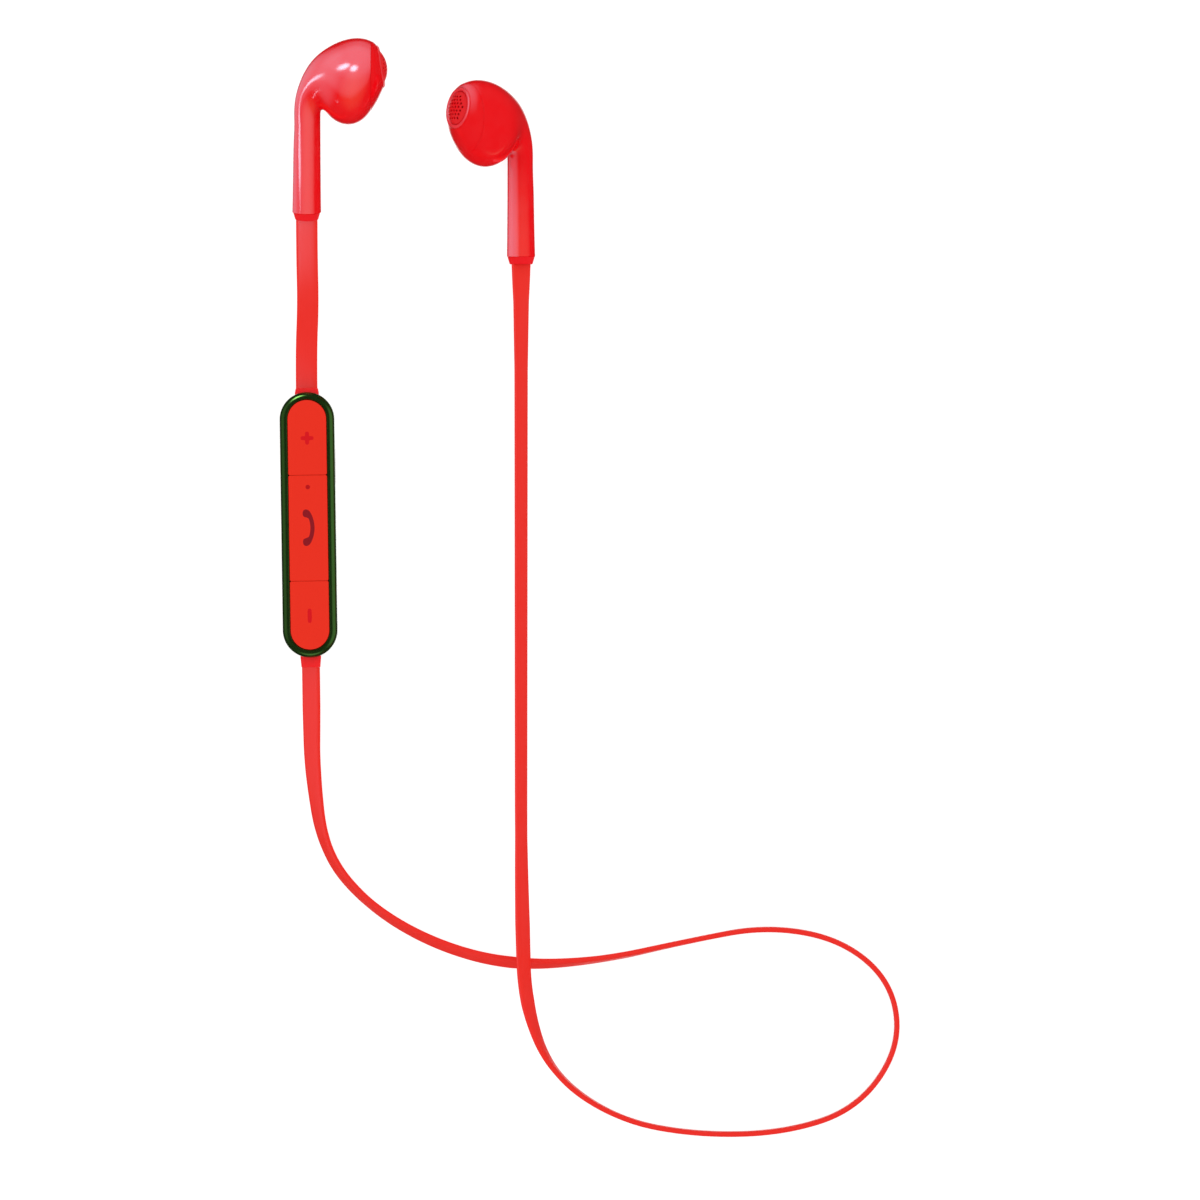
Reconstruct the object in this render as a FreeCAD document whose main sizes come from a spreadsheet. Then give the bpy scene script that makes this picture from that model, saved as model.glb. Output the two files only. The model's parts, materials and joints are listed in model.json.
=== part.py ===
"""Cord-linked earphones: two stem earbuds, a control pod with three keys, and two flat cords.

Frame: millimetres, +Z up from the table.  +Y runs from the pod towards the earbuds and +X
from the left earbud to the right one.  The origin lies on the table, under the middle of
the rigid pieces.
"""
import FreeCAD, Part
import math
import os

import Sketcher

Vector = FreeCAD.Vector
Rotation = FreeCAD.Rotation
Placement = FreeCAD.Placement

SIZES = {
    # Earbud shell, measured along the stem from its lower end
    "shell_wall": 1.0,
    "seam_across": 13.3,
    "cavity_front": 14.0,
    "stem_bore_radius": 1.5,
    "stem_bore_top": 21.5,
    "bud_length": 37.6,
    "bud_depth": 20.0,
    # Sound port in the front shell
    "port_height": 31.7,
    "port_tilt": 9.0,
    "port_rim_across": 15.1,
    "port_ring_radius": 4.3,
    "port_ring_thickness": 0.8,
    "port_bore_radius": 3.45,
    "port_seat_radius": 3.75,
    "port_seat_depth": 4.0,
    "mesh_flange_radius": 3.65,
    "mesh_skirt_radius": 3.42,
    "mesh_dome_radius": 5.6,
    "mesh_dome_rise": 1.45,
    "mesh_thickness": 0.25,
    "mesh_hole_radius": 0.25,
    "mesh_hole_pitch": 0.85,
    # Driver, whose axis runs from the stem side to the port
    "driver_height": 30.1,
    "driver_front": 12.7,
    "driver_radius": 5.3,
    "frame_wall": 0.4,
    "frame_depth": 2.5,
    "frame_floor": 0.5,
    "gasket_thickness": 0.5,
    "gasket_bore_radius": 4.5,
    "yoke_radius": 4.1,
    "yoke_wall": 0.55,
    "yoke_depth": 2.6,
    "yoke_floor": 0.6,
    "yoke_back": 8.6,
    "magnet_radius": 2.75,
    "magnet_thickness": 1.4,
    "plate_radius": 2.85,
    "plate_thickness": 0.6,
    "coil_bore_radius": 3.05,
    "coil_wall": 0.3,
    "coil_back": 9.9,
    "coil_length": 2.1,
    "diaphragm_radius": 3.95,
    "diaphragm_curve": 10.0,
    "diaphragm_crown": 12.72,
    "diaphragm_skin": 0.12,
    "surround_middle": 4.47,
    "surround_roll": 0.4,
    "surround_skin": 0.1,
    "surround_level": 12.0,
    "terminal_width": 3.2,
    "terminal_rise": 1.05,
    "terminal_thickness": 0.5,
    "lead_radius": 0.25,
    "lead_spacing": 1.1,
    "lead_bend_height": 24.2,
    # Plug that closes the lower end of the stem
    "plug_rise": 1.5,
    "plug_foot_radius": 2.4,
    "plug_top_radius": 2.78,
    "plug_spigot_radius": 1.46,
    "plug_spigot_length": 3.5,
    # Earbuds as they lie: lower end of the stem, tilt of the stem, roll of the port
    "left_bud_place_x": -20.8,
    "left_bud_place_y": 27.4,
    "left_bud_place_z": 2.45,
    "left_bud_tilt": 11.54,
    "left_bud_roll": 0.0,
    "right_bud_place_x": 23.1,
    "right_bud_place_y": 18.2,
    "right_bud_place_z": 2.88,
    "right_bud_tilt": 0.0,
    "right_bud_roll": 33.0,
    # Control pod
    "pod_place_x": -20.35,
    "pod_place_y": -35.15,
    "pod_lean": 0.86,
    "pod_width": 11.2,
    "pod_length": 54.3,
    "pod_lip_width": 8.1,
    "pod_lip_length": 51.2,
    "pod_room_width": 9.4,
    "pod_room_length": 52.5,
    "bezel_bottom": 1.0,
    "bezel_top": 7.9,
    "lip_thickness": 0.8,
    "bezel_round": 1.3,
    "bezel_foot_round": 0.7,
    "cover_edge": 0.5,
    "cover_rim_height": 1.1,
    "cover_rim_wall": 0.7,
    "key_width": 7.9,
    "key_length": 51.0,
    "key_underside": 6.6,
    "key_crown": 8.4,
    "key_pillow_radius": 19.7,
    "key_gap": 0.12,
    "fit_gap": 0.12,
    "key_flange_width": 9.0,
    "key_flange_length": 52.1,
    "key_flange_thickness": 0.4,
    "plus_divide": 10.15,
    "minus_divide": -11.5,
    "plus_middle": 17.7,
    "call_middle": -0.6,
    "minus_middle": -18.6,
    "plunger_radius": 1.1,
    "plunger_bottom": 6.32,
    "mark_tool_height": 1.0,
    "symbol_depth": 0.3,
    "symbol_stroke": 0.8,
    "plus_reach": 1.3,
    "minus_reach": 1.45,
    "handset_radius": 6.0,
    "handset_reach": 3.2,
    "handset_lobe": 0.75,
    "lens_radius": 0.45,
    "lens_place": 7.7,
    # Pieces inside the pod
    "board_bottom": 4.7,
    "board_thickness": 0.8,
    "board_width": 9.0,
    "board_length": 47.0,
    "post_radius": 0.5,
    "post_across": 4.0,
    "post_along": 19.0,
    "dome_radius": 2.0,
    "dome_shoulder_radius": 1.8,
    "dome_top_radius": 1.0,
    "dome_height": 0.5,
    "battery_width": 7.0,
    "battery_length": 20.5,
    "battery_thickness": 3.3,
    "battery_middle": -13.2,
    "receptacle_width": 7.5,
    "receptacle_depth": 5.6,
    "receptacle_height": 2.5,
    "receptacle_middle": 12.0,
    "receptacle_sheet": 0.3,
    "tongue_width": 3.75,
    "tongue_thickness": 0.62,
    "tongue_length": 4.4,
    "shield_width": 5.4,
    "shield_length": 6.4,
    "shield_height": 1.2,
    "shield_middle": 2.2,
    "antenna_width": 3.2,
    "antenna_length": 1.6,
    "antenna_height": 0.5,
    "antenna_middle": -7.6,
    "microphone_radius": 2.0,
    "microphone_height": 1.1,
    "microphone_middle": 20.4,
    "boot_radius": 1.4,
    "boot_bore_radius": 0.5,
    "led_width": 1.6,
    "led_length": 0.8,
    "led_height": 0.5,
    # Flat cord and its grommets
    "cord_width": 4.4,
    "cord_thickness": 1.15,
    "cord_height": 3.9,
    "grommet_neck_width": 5.2,
    "grommet_neck_height": 2.0,
    "grommet_flange_width": 6.6,
    "grommet_flange_height": 3.2,
    "grommet_flange_thickness": 0.9,
    "flange_setback": 1.35,
    "sleeve_lip": 0.15,
    "upper_grommet_reach": 1.2,
    "lower_grommet_reach": 2.0,
}

# Sections of the earbud's skin: back edge (across, up), front edge (across, up), half width.
# Across runs from the stem's axis towards the ear and up runs along the stem.
SECTION_WORDS = ("back_across", "back_up", "front_across", "front_up", "half_width")
SECTIONS = (
    (-2.95, 1.50, 2.75, 1.50, 2.80),
    (-2.82, 6.00, 2.70, 6.00, 2.70),
    (-2.70, 11.0, 2.65, 11.0, 2.62),
    (-2.57, 16.0, 2.62, 16.0, 2.55),
    (-2.45, 20.5, 2.60, 20.5, 2.50),
    (-2.25, 25.0, 2.80, 22.7, 2.60),
    (-1.00, 29.3, 3.20, 22.7, 3.30),
    (1.07, 32.8, 3.70, 22.4, 4.55),
    (4.00, 35.4, 4.80, 21.4, 6.10),
    (7.30, 37.05, 6.60, 20.15, 7.60),
    (10.0, 37.60, 9.20, 19.75, 8.15),
    (12.0, 37.45, 11.6, 20.75, 7.60),
    (13.3, 37.00, 13.3, 22.60, 6.75),
    (14.6, 36.15, 14.7, 24.75, 5.50),
    (15.5, 35.10, 15.6, 26.60, 4.15),
    (16.1, 33.60, 16.2, 29.00, 2.25),
)
NECK_SECTION = 7
FIRST_CAVITY_SECTION = 5
LAST_CAVITY_SECTION = 15

# Route of each flat cord between its ends: x, y, z and lean.  The lean turns the cord about
# its own line: 0 and 180 lie it flat, 90 stands it on edge.
SHORT_ROUTE = ((-20.55, 10.2, 0.85, 0.0),)
LONG_ROUTE = (
    (-19.7, -85.5, 2.15, 131.0),
    (-17.4, -102.0, 2.25, 113.0),
    (-8.7, -112.8, 2.25, 108.0),
    (4.9, -121.0, 2.20, 113.0),
    (20.9, -125.4, 2.20, 117.0),
    (39.1, -124.5, 2.25, 100.0),
    (57.6, -120.3, 2.25, 92.0),
    (73.5, -117.3, 2.25, 90.0),
    (88.9, -120.1, 2.25, 90.0),
    (99.2, -129.1, 2.25, 90.0),
    (100.7, -142.3, 2.25, 90.0),
    (91.9, -154.8, 2.25, 90.0),
    (76.9, -159.7, 2.25, 90.0),
    (58.9, -160.1, 2.25, 90.0),
    (42.8, -157.0, 2.25, 90.0),
    (29.4, -147.8, 2.60, 96.0),
    (23.9, -133.2, 6.90, 122.0),
    (23.4, -117.0, 6.90, 126.0),
    (23.1, -99.2, 2.15, 117.0),
    (23.1, -3.2, 2.15, 121.0),
)
SHORT_FIRST_RUN = 8.0
SHORT_LAST_RUN = 7.0
LONG_FIRST_RUN = 9.0
LONG_LAST_RUN = 8.0
LONG_FIRST_LEAN = 142.0
LONG_LAST_LEAN = 130.0
FLAT_LEAN = 180.0
ARC_SHARE = 0.45
ARC_STEP = 12.0
RUN_STEP = 9.0

# Sizes that a slot is first drawn at, before its constraints take over
FIRST_SLOT_RADIUS = 4.0
FIRST_SLOT_REACH = 20.0

doc = FreeCAD.newDocument("Earphones")
sheet = doc.addObject("Spreadsheet::Sheet", "Sizes")
section_sheet = doc.addObject("Spreadsheet::Sheet", "Sections")
sub_parts = []


def fill_sheets():
    """Write every driving size into its cell and give the cell its alias."""
    for row, (alias, value) in enumerate(SIZES.items(), 1):
        sheet.set(f"A{row}", alias)
        sheet.set(f"B{row}", str(value))
        sheet.setAlias(f"B{row}", alias)
    for row, section in enumerate(SECTIONS, 1):
        for column, word, value in zip("ABCDE", SECTION_WORDS, section):
            section_sheet.set(f"{column}{row}", str(value))
            section_sheet.setAlias(f"{column}{row}", f"{word}_{row}")
    doc.recompute()


def size(alias):
    """The number in one cell of the sheet of sizes."""
    return float(sheet.get(alias))


def new(kind, name, **bound):
    """A new object whose properties are bound to expressions of the sheet's cells."""
    item = doc.addObject(kind, name)
    for key, expression in bound.items():
        item.setExpression(key, expression)
    return item


def place(item, x=0.0, y=0.0, z=0.0, axis=Vector(0, 0, 1), angle=0.0):
    """Put an object at a point, turned about an axis."""
    item.Placement = Placement(Vector(x, y, z), Rotation(axis, angle))
    return item


def cut(name, base, *tools):
    """The base with each tool taken away in turn."""
    for number, tool in enumerate(tools, 1):
        step = doc.addObject("Part::Cut", f"{name}_cut_{number}")
        step.Base = base
        step.Tool = tool
        base = step
    return base


def common(name, base, tool):
    """What the base and the tool share."""
    item = doc.addObject("Part::Common", name)
    item.Base = base
    item.Tool = tool
    return item


def fuse(name, *shapes):
    """Several shapes joined into one solid."""
    item = doc.addObject("Part::MultiFuse", name)
    item.Shapes = list(shapes)
    return item


def group(name, *shapes):
    """Several separate solids kept together as one sub-part."""
    item = doc.addObject("Part::Compound", name)
    item.Links = list(shapes)
    return item


def keep(item, label, where=None):
    """Name a finished sub-part, put it in its place and list it for export."""
    item.Label = label
    if where is not None:
        item.Placement = where.multiply(item.Placement)
    sub_parts.append(item)
    return item


def disc(name, radius, thickness, across):
    """A round plate or plug on the driver's axis, with its back face at a given place across."""
    item = new("Part::Cylinder", name, Radius=radius, Height=thickness)
    return place(item, x=across, y=size("driver_height"), axis=Vector(0, 1, 0), angle=90)


# Earbud


def bud_placement(side):
    """Where an earbud lies: the stem's lower end, its tilt and the roll of its port."""
    turn = 180.0 if side == "right" else 0.0
    roll = Rotation(Vector(0, 1, 0), turn + size(f"{side}_bud_roll"))
    tilt = Rotation(Vector(1, 0, 0), size(f"{side}_bud_tilt"))
    base = Vector(*(size(f"{side}_bud_place_{axis}") for axis in "xyz"))
    return Placement(base, tilt.multiply(roll))


def bud_section(side, number, inset):
    """One elliptical section of the skin, or of the cavity when it is set in."""
    across = f"(Sections.front_across_{number} - Sections.back_across_{number})"
    rise = f"(Sections.front_up_{number} - Sections.back_up_{number})"
    deep = f" - Sizes.{inset}" if inset else ""
    name = f"{side}_{'cavity' if inset else 'skin'}_section_{number}"
    item = new(
        "Part::Ellipse",
        name,
        MajorRadius=f"sqrt({across} * {across} + {rise} * {rise}) / 2{deep}",
        MinorRadius=f"Sections.half_width_{number}{deep}",
    )
    values = {word: float(section_sheet.get(f"{word}_{number}")) for word in SECTION_WORDS}
    back = Vector(values["back_across"], values["back_up"], 0)
    front = Vector(values["front_across"], values["front_up"], 0)
    along = (front - back).normalize()
    sideways = Vector(0, 0, 1)
    item.Placement = Placement((back + front) / 2, Rotation(along, sideways, along.cross(sideways), "XYZ"))
    return item


def bud_solid(side, name, first, last, inset=None):
    """A smooth solid through some of the sections, in two lofts that meet at the neck."""
    lofts = []
    for start, end in ((first, NECK_SECTION), (NECK_SECTION, last)):
        loft = doc.addObject("Part::Loft", f"{side}_{name}_loft")
        loft.Sections = [bud_section(side, number, inset) for number in range(start, end + 1)]
        loft.Solid = True
        loft.Ruled = False
        lofts.append(loft)
    return fuse(f"{side}_{name}", *lofts)


def bud_half_space(side, name, across, in_front):
    """A block on one side of a plane that stands across the earbud at a given place."""
    block = new(
        "Part::Box",
        f"{side}_{name}",
        Length="Sizes.bud_depth * 2",
        Width="Sizes.bud_length * 2",
        Height="Sizes.bud_depth * 2",
    )
    start = size(across) if in_front else size(across) - size("bud_depth") * 2
    return place(block, x=start, y=-size("bud_length") / 2, z=-size("bud_depth"))


def port_frame():
    """The frame of the sound port: its middle, and Z pointing out to the ear."""
    middle = Vector(size("port_rim_across"), size("port_height"), 0)
    outwards = Rotation(Vector(0, 1, 0), 90)
    return Placement(middle, Rotation(Vector(0, 0, 1), size("port_tilt")).multiply(outwards))


def port_cylinder(side, name, radius, height, depth):
    """A round plug on the port's axis that starts a depth below the rim."""
    item = new("Part::Cylinder", f"{side}_{name}", Radius=radius, Height=height)
    item.Placement = port_frame().multiply(Placement(Vector(0, 0, -depth), Rotation()))
    return item


def make_shells(side, where):
    """The rear shell with its stem, and the front shell with the seat of the port."""
    for piece, in_front in (("rear_shell", False), ("front_shell", True)):
        skin = bud_solid(side, f"{piece}_skin", 1, len(SECTIONS))
        room = bud_solid(side, f"{piece}_room", FIRST_CAVITY_SECTION, LAST_CAVITY_SECTION, "shell_wall")
        front_wall = bud_half_space(side, f"{piece}_wall", "cavity_front", False)
        cavity = common(f"{side}_{piece}_cavity", room, front_wall)
        shell = cut(f"{side}_{piece}_hollow", skin, cavity)
        half = bud_half_space(side, f"{piece}_block", "seam_across", in_front)
        shell = common(f"{side}_{piece}_half", shell, half)
        if in_front:
            seat = port_cylinder(
                side, "port_seat", "Sizes.port_seat_radius", "Sizes.bud_depth", size("port_seat_depth")
            )
            rebate = port_cylinder(
                side, "port_rebate", "Sizes.port_ring_radius", "Sizes.bud_depth", size("port_ring_thickness")
            )
            shell = cut(f"{side}_{piece}", shell, seat, rebate)
        else:
            bore = new(
                "Part::Cylinder",
                f"{side}_stem_bore",
                Radius="Sizes.stem_bore_radius",
                Height="Sizes.stem_bore_top",
            )
            place(bore, axis=Vector(1, 0, 0), angle=-90)
            shell = cut(f"{side}_{piece}", shell, bore)
        keep(shell, f"{side}_{piece}", where)


def make_port(side, where):
    """The ring round the sound port and the perforated dome that fills it."""
    depth = size("port_ring_thickness")
    body = port_cylinder(side, "ring_body", "Sizes.port_ring_radius", "Sizes.port_ring_thickness", depth)
    bore = port_cylinder(side, "ring_bore", "Sizes.port_bore_radius", "Sizes.bud_depth", size("bud_depth") / 2)
    keep(cut(f"{side}_port_ring", body, bore), f"{side}_port_ring", where)
    mesh = cut(f"{side}_port_mesh", mesh_dome(side), mesh_holes(side))
    keep(mesh, f"{side}_port_mesh", where)


def mesh_dome(side):
    """A spherical cap on a short skirt, with a flange that sits under the ring."""
    balls = []
    for name, inset in (("outer", ""), ("inner", " - Sizes.mesh_thickness")):
        ball = new("Part::Sphere", f"{side}_mesh_{name}_ball", Radius=f"Sizes.mesh_dome_radius{inset}")
        centre = Vector(0, 0, size("mesh_dome_rise") - size("mesh_dome_radius"))
        ball.Placement = port_frame().multiply(Placement(centre, Rotation()))
        balls.append(ball)
    over_rim = port_cylinder(side, "mesh_over_rim", "Sizes.mesh_skirt_radius", "Sizes.mesh_dome_rise * 2", 0.0)
    cap = common(f"{side}_mesh_cap", cut(f"{side}_mesh_shell", *balls), over_rim)
    ring_back = size("port_ring_thickness")
    thickness = size("mesh_thickness")
    skirt = port_cylinder(
        side,
        "mesh_skirt",
        "Sizes.mesh_skirt_radius",
        "Sizes.port_ring_thickness + Sizes.mesh_thickness / 2",
        ring_back,
    )
    flange = port_cylinder(
        side, "mesh_flange", "Sizes.mesh_flange_radius", "Sizes.mesh_thickness", ring_back + thickness
    )
    bore = port_cylinder(
        side,
        "mesh_bore",
        "Sizes.mesh_skirt_radius - Sizes.mesh_thickness",
        "Sizes.port_ring_thickness + Sizes.mesh_thickness * 2",
        ring_back + thickness * 2,
    )
    tube = cut(f"{side}_mesh_tube", fuse(f"{side}_mesh_foot", skirt, flange), bore)
    return fuse(f"{side}_mesh_dome", cap, tube)


def mesh_holes(side):
    """The dome's holes: rows a triangle's height apart, each shifted half a pitch from the last."""
    pitch = size("mesh_hole_pitch")
    limit = size("mesh_skirt_radius") - size("mesh_thickness") - pitch / 2
    reach = math.ceil(2 * limit / pitch)
    holes = []
    for row in range(-reach, reach + 1):
        for column in range(-reach, reach + 1):
            x = (column + row / 2) * pitch
            y = row * pitch * math.sqrt(3) / 2
            if math.hypot(x, y) < limit:
                hole = new(
                    "Part::Cylinder",
                    f"{side}_mesh_hole",
                    Radius="Sizes.mesh_hole_radius",
                    Height="Sizes.mesh_dome_rise * 2",
                )
                hole.Placement = port_frame().multiply(Placement(Vector(x, y, 0), Rotation()))
                holes.append(hole)
    return group(f"{side}_mesh_holes", *holes)


def make_driver(side, where):
    """The moving-coil driver, piece by piece, and the gasket in front of it."""
    front = size("driver_front")
    rim = front - size("frame_depth")
    frame = cut(
        f"{side}_driver_frame",
        disc(f"{side}_frame_body", "Sizes.driver_radius", "Sizes.frame_depth", rim),
        disc(
            f"{side}_frame_room",
            "Sizes.driver_radius - Sizes.frame_wall",
            "Sizes.frame_depth",
            rim + size("frame_floor"),
        ),
        disc(f"{side}_frame_hole", "Sizes.yoke_radius", "Sizes.frame_depth", rim - size("frame_floor")),
    )
    keep(frame, f"{side}_driver_frame", where)
    gasket = cut(
        f"{side}_front_gasket",
        disc(f"{side}_gasket_body", "Sizes.driver_radius", "Sizes.gasket_thickness", front),
        disc(f"{side}_gasket_bore", "Sizes.gasket_bore_radius", "Sizes.gasket_thickness", front),
    )
    keep(gasket, f"{side}_front_gasket", where)
    back = size("yoke_back")
    inside = back + size("yoke_floor")
    yoke = cut(
        f"{side}_yoke",
        disc(f"{side}_yoke_body", "Sizes.yoke_radius", "Sizes.yoke_depth", back),
        disc(f"{side}_yoke_room", "Sizes.yoke_radius - Sizes.yoke_wall", "Sizes.yoke_depth", inside),
    )
    keep(yoke, f"{side}_yoke", where)
    magnet = disc(f"{side}_magnet", "Sizes.magnet_radius", "Sizes.magnet_thickness", inside)
    keep(magnet, f"{side}_magnet", where)
    keep(
        disc(
            f"{side}_top_plate",
            "Sizes.plate_radius",
            "Sizes.plate_thickness",
            inside + size("magnet_thickness"),
        ),
        f"{side}_top_plate",
        where,
    )
    coil_back = size("coil_back")
    coil = cut(
        f"{side}_voice_coil",
        disc(f"{side}_coil_body", "Sizes.coil_bore_radius + Sizes.coil_wall", "Sizes.coil_length", coil_back),
        disc(f"{side}_coil_bore", "Sizes.coil_bore_radius", "Sizes.coil_length", coil_back),
    )
    keep(coil, f"{side}_voice_coil", where)
    make_diaphragm(side, where)
    make_surround(side, where)
    board = new(
        "Part::Box",
        f"{side}_terminal_board",
        Length="Sizes.terminal_thickness",
        Width="Sizes.terminal_rise",
        Height="Sizes.terminal_width",
    )
    place(
        board,
        x=rim - size("terminal_thickness"),
        y=size("driver_height") - size("driver_radius"),
        z=-size("terminal_width") / 2,
    )
    keep(board, f"{side}_terminal_board", where)


def make_diaphragm(side, where):
    """A thin dome that stands on the voice coil."""
    centre = size("diaphragm_crown") - size("diaphragm_curve")
    skins = []
    for name, inset in (("outer", ""), ("inner", " - Sizes.diaphragm_skin")):
        ball = new("Part::Sphere", f"{side}_dome_{name}", Radius=f"Sizes.diaphragm_curve{inset}")
        skins.append(place(ball, x=centre, y=size("driver_height")))
    dome = cut(f"{side}_dome_shell", *skins)
    edge = disc(f"{side}_dome_edge", "Sizes.diaphragm_radius", "Sizes.diaphragm_curve", centre)
    keep(common(f"{side}_diaphragm", dome, edge), f"{side}_diaphragm", where)


def make_surround(side, where):
    """The half roll that joins the dome's edge to the driver's frame."""
    level = size("surround_level")
    rolls = []
    for name, inset in (("outer", ""), ("inner", " - Sizes.surround_skin")):
        roll = new(
            "Part::Torus",
            f"{side}_roll_{name}",
            Radius1="Sizes.surround_middle",
            Radius2=f"Sizes.surround_roll{inset}",
        )
        rolls.append(place(roll, x=level, y=size("driver_height"), axis=Vector(0, 1, 0), angle=90))
    roll = cut(f"{side}_roll_shell", *rolls)
    front = disc(f"{side}_roll_front", "Sizes.driver_radius", "Sizes.surround_roll", level)
    keep(common(f"{side}_surround", roll, front), f"{side}_surround", where)


def make_stem_pieces(side, where):
    """The plug in the stem's lower end and the two lead wires that rise from it."""
    foot = new(
        "Part::Cone",
        f"{side}_plug_foot",
        Radius1="Sizes.plug_foot_radius",
        Radius2="Sizes.plug_top_radius",
        Height="Sizes.plug_rise",
    )
    spigot = new(
        "Part::Cylinder",
        f"{side}_plug_spigot",
        Radius="Sizes.plug_spigot_radius",
        Height="Sizes.plug_rise + Sizes.plug_spigot_length",
    )
    for item in (foot, spigot):
        place(item, axis=Vector(1, 0, 0), angle=-90)
    keep(fuse(f"{side}_stem_plug", foot, spigot), f"{side}_stem_plug", where)
    start = size("plug_rise") + size("plug_spigot_length")
    board_back = size("driver_front") - size("frame_depth") - size("terminal_thickness")
    landing = size("driver_height") - size("driver_radius") + size("terminal_rise") / 2
    wires = []
    for sign in (-1, 1):
        z = sign * size("lead_spacing") / 2
        points = [
            Vector(0, start, z),
            Vector(0, size("lead_bend_height"), z),
            Vector(board_back / 2, landing, z),
            Vector(board_back, landing, z),
        ]
        wires.append(round_tube(points, size("lead_radius")))
    leads = doc.addObject("Part::Feature", f"{side}_lead_wires")
    leads.Shape = Part.makeCompound(wires)
    keep(leads, f"{side}_lead_wires", where)


# Routes made of straight runs and tangent arcs


def route_elements(points):
    """Straight runs and tangent arcs along a route, as (kind, ends, centre, turn) records."""
    elements = []
    start = points[0]
    for before, corner, after in zip(points, points[1:], points[2:]):
        arriving = (corner - before).normalize()
        leaving = (after - corner).normalize()
        turn = arriving.getAngle(leaving)
        reach = ARC_SHARE * min((corner - before).Length, (after - corner).Length)
        radius = reach / math.tan(turn / 2)
        first = corner - arriving * reach
        last = corner + leaving * reach
        inwards = (leaving - arriving).normalize()
        centre = corner + inwards * math.hypot(radius, reach)
        elements.append({"ends": (start, first), "radius": None})
        elements.append({"ends": (first, last), "radius": radius, "centre": centre, "turn": turn})
        start = last
    elements.append({"ends": (start, points[-1]), "radius": None})
    return elements


def element_edge(element):
    """The edge of one run or arc."""
    first, last = element["ends"]
    if element["radius"] is None:
        return Part.LineSegment(first, last).toShape()
    outwards = ((first + last) / 2 - element["centre"]).normalize()
    return Part.Arc(first, element["centre"] + outwards * element["radius"], last).toShape()


def round_tube(points, radius):
    """A round wire along a route."""
    wire = Part.Wire([element_edge(element) for element in route_elements(points)])
    section = Part.Wire([Part.Circle(points[0], points[1] - points[0], radius).toShape()])
    return wire.makePipeShell([section], True, True)


def route_stations(points):
    """Places along a route as (point, direction, distance), and the distance of each point."""
    stations = []
    marks = [0.0]
    distance = 0.0
    for element in route_elements(points):
        first, last = element["ends"]
        if element["radius"] is None:
            run = last - first
            steps = max(1, math.ceil(run.Length / RUN_STEP))
            for step in range(steps):
                part = step / steps
                stations.append((first + run * part, run, distance + run.Length * part))
            distance += run.Length
        else:
            turn = element["turn"]
            length = element["radius"] * turn
            marks.append(distance + length / 2)
            spoke = first - element["centre"]
            other = last - element["centre"]
            steps = max(2, math.ceil(math.degrees(turn) / ARC_STEP))
            for step in range(steps):
                part = step / steps
                out = spoke * math.sin((1 - part) * turn) + other * math.sin(part * turn)
                ahead = other * math.cos(part * turn) - spoke * math.cos((1 - part) * turn)
                point = element["centre"] + out / math.sin(turn)
                stations.append((point, ahead, distance + length * part))
            distance += length
    marks.append(distance)
    stations.append((points[-1], points[-1] - points[-2], distance))
    return stations, marks


def lean_at(distance, marks, leans):
    """The lean at a distance along the route, changed evenly between the route's points."""
    for first, last, start, end in zip(marks, marks[1:], leans, leans[1:]):
        if distance <= last:
            return start + (end - start) * (distance - first) / (last - first)
    return leans[-1]


def stadium_wire(middle, wide, thick, width, thickness):
    """A flat section with round edges, drawn with lines and quarter circles."""
    radius = thickness / 2
    half = width / 2 - radius
    corner = radius * math.sqrt(0.5)

    def at(along, over):
        return middle + wide * along + thick * over

    edges = [Part.LineSegment(at(-half, radius), at(half, radius)).toShape()]
    for sign in (1, -1):
        side = sign * half
        tip = at(sign * (half + radius), 0)
        start = at(side, sign * radius)
        end = at(side, -sign * radius)
        edges.append(Part.Arc(start, at(side + sign * corner, sign * corner), tip).toShape())
        edges.append(Part.Arc(tip, at(side + sign * corner, -sign * corner), end).toShape())
        if sign == 1:
            edges.append(Part.LineSegment(end, at(-half, -radius)).toShape())
    return Part.Wire(edges)


def ribbon(points, leans, label):
    """A flat cord along a route: a ruled skin through flat sections that lean with it."""
    width = size("cord_width")
    thickness = size("cord_thickness")
    stations, marks = route_stations(points)
    wires = []
    for point, direction, distance in stations:
        ahead = Vector(direction).normalize()
        right = ahead.cross(Vector(0, 0, 1)).normalize()
        up = right.cross(ahead)
        lean = math.radians(lean_at(distance, marks, leans))
        wide = right * math.cos(lean) + up * math.sin(lean)
        thick = up * math.cos(lean) - right * math.sin(lean)
        wires.append(stadium_wire(point, wide, thick, width, thickness))
    solid = Part.makeLoft(wires, True, True)
    area = (width - thickness) * thickness + math.pi * thickness**2 / 4
    radii = [round(element["radius"], 1) for element in route_elements(points) if element["radius"]]
    print(f"{label}: radii {radii}")
    print(f"{label}: length {marks[-1]:.1f}, sections {len(wires)}, turns {leans[0]:.0f} to {leans[-1]:.0f}")
    print(f"{label}: volume {solid.Volume:.1f}, section times length {area * marks[-1]:.1f}")
    return solid


def bud_exit(side, run):
    """The point where the cord leaves an earbud's plug, and the next point straight on."""
    where = bud_placement(side)
    return where.Base, where.multVec(Vector(0, -run, 0))


def pod_exit(sign, run):
    """The point where the cord leaves a grommet of the pod, and the next point straight on."""
    reach = size("lower_grommet_reach") if sign < 0 else size("upper_grommet_reach")
    end = size("pod_length") / 2 + reach
    where = pod_placement()
    height = size("cord_height")
    return where.multVec(Vector(0, sign * end, height)), where.multVec(Vector(0, sign * (end + run), height))


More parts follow.
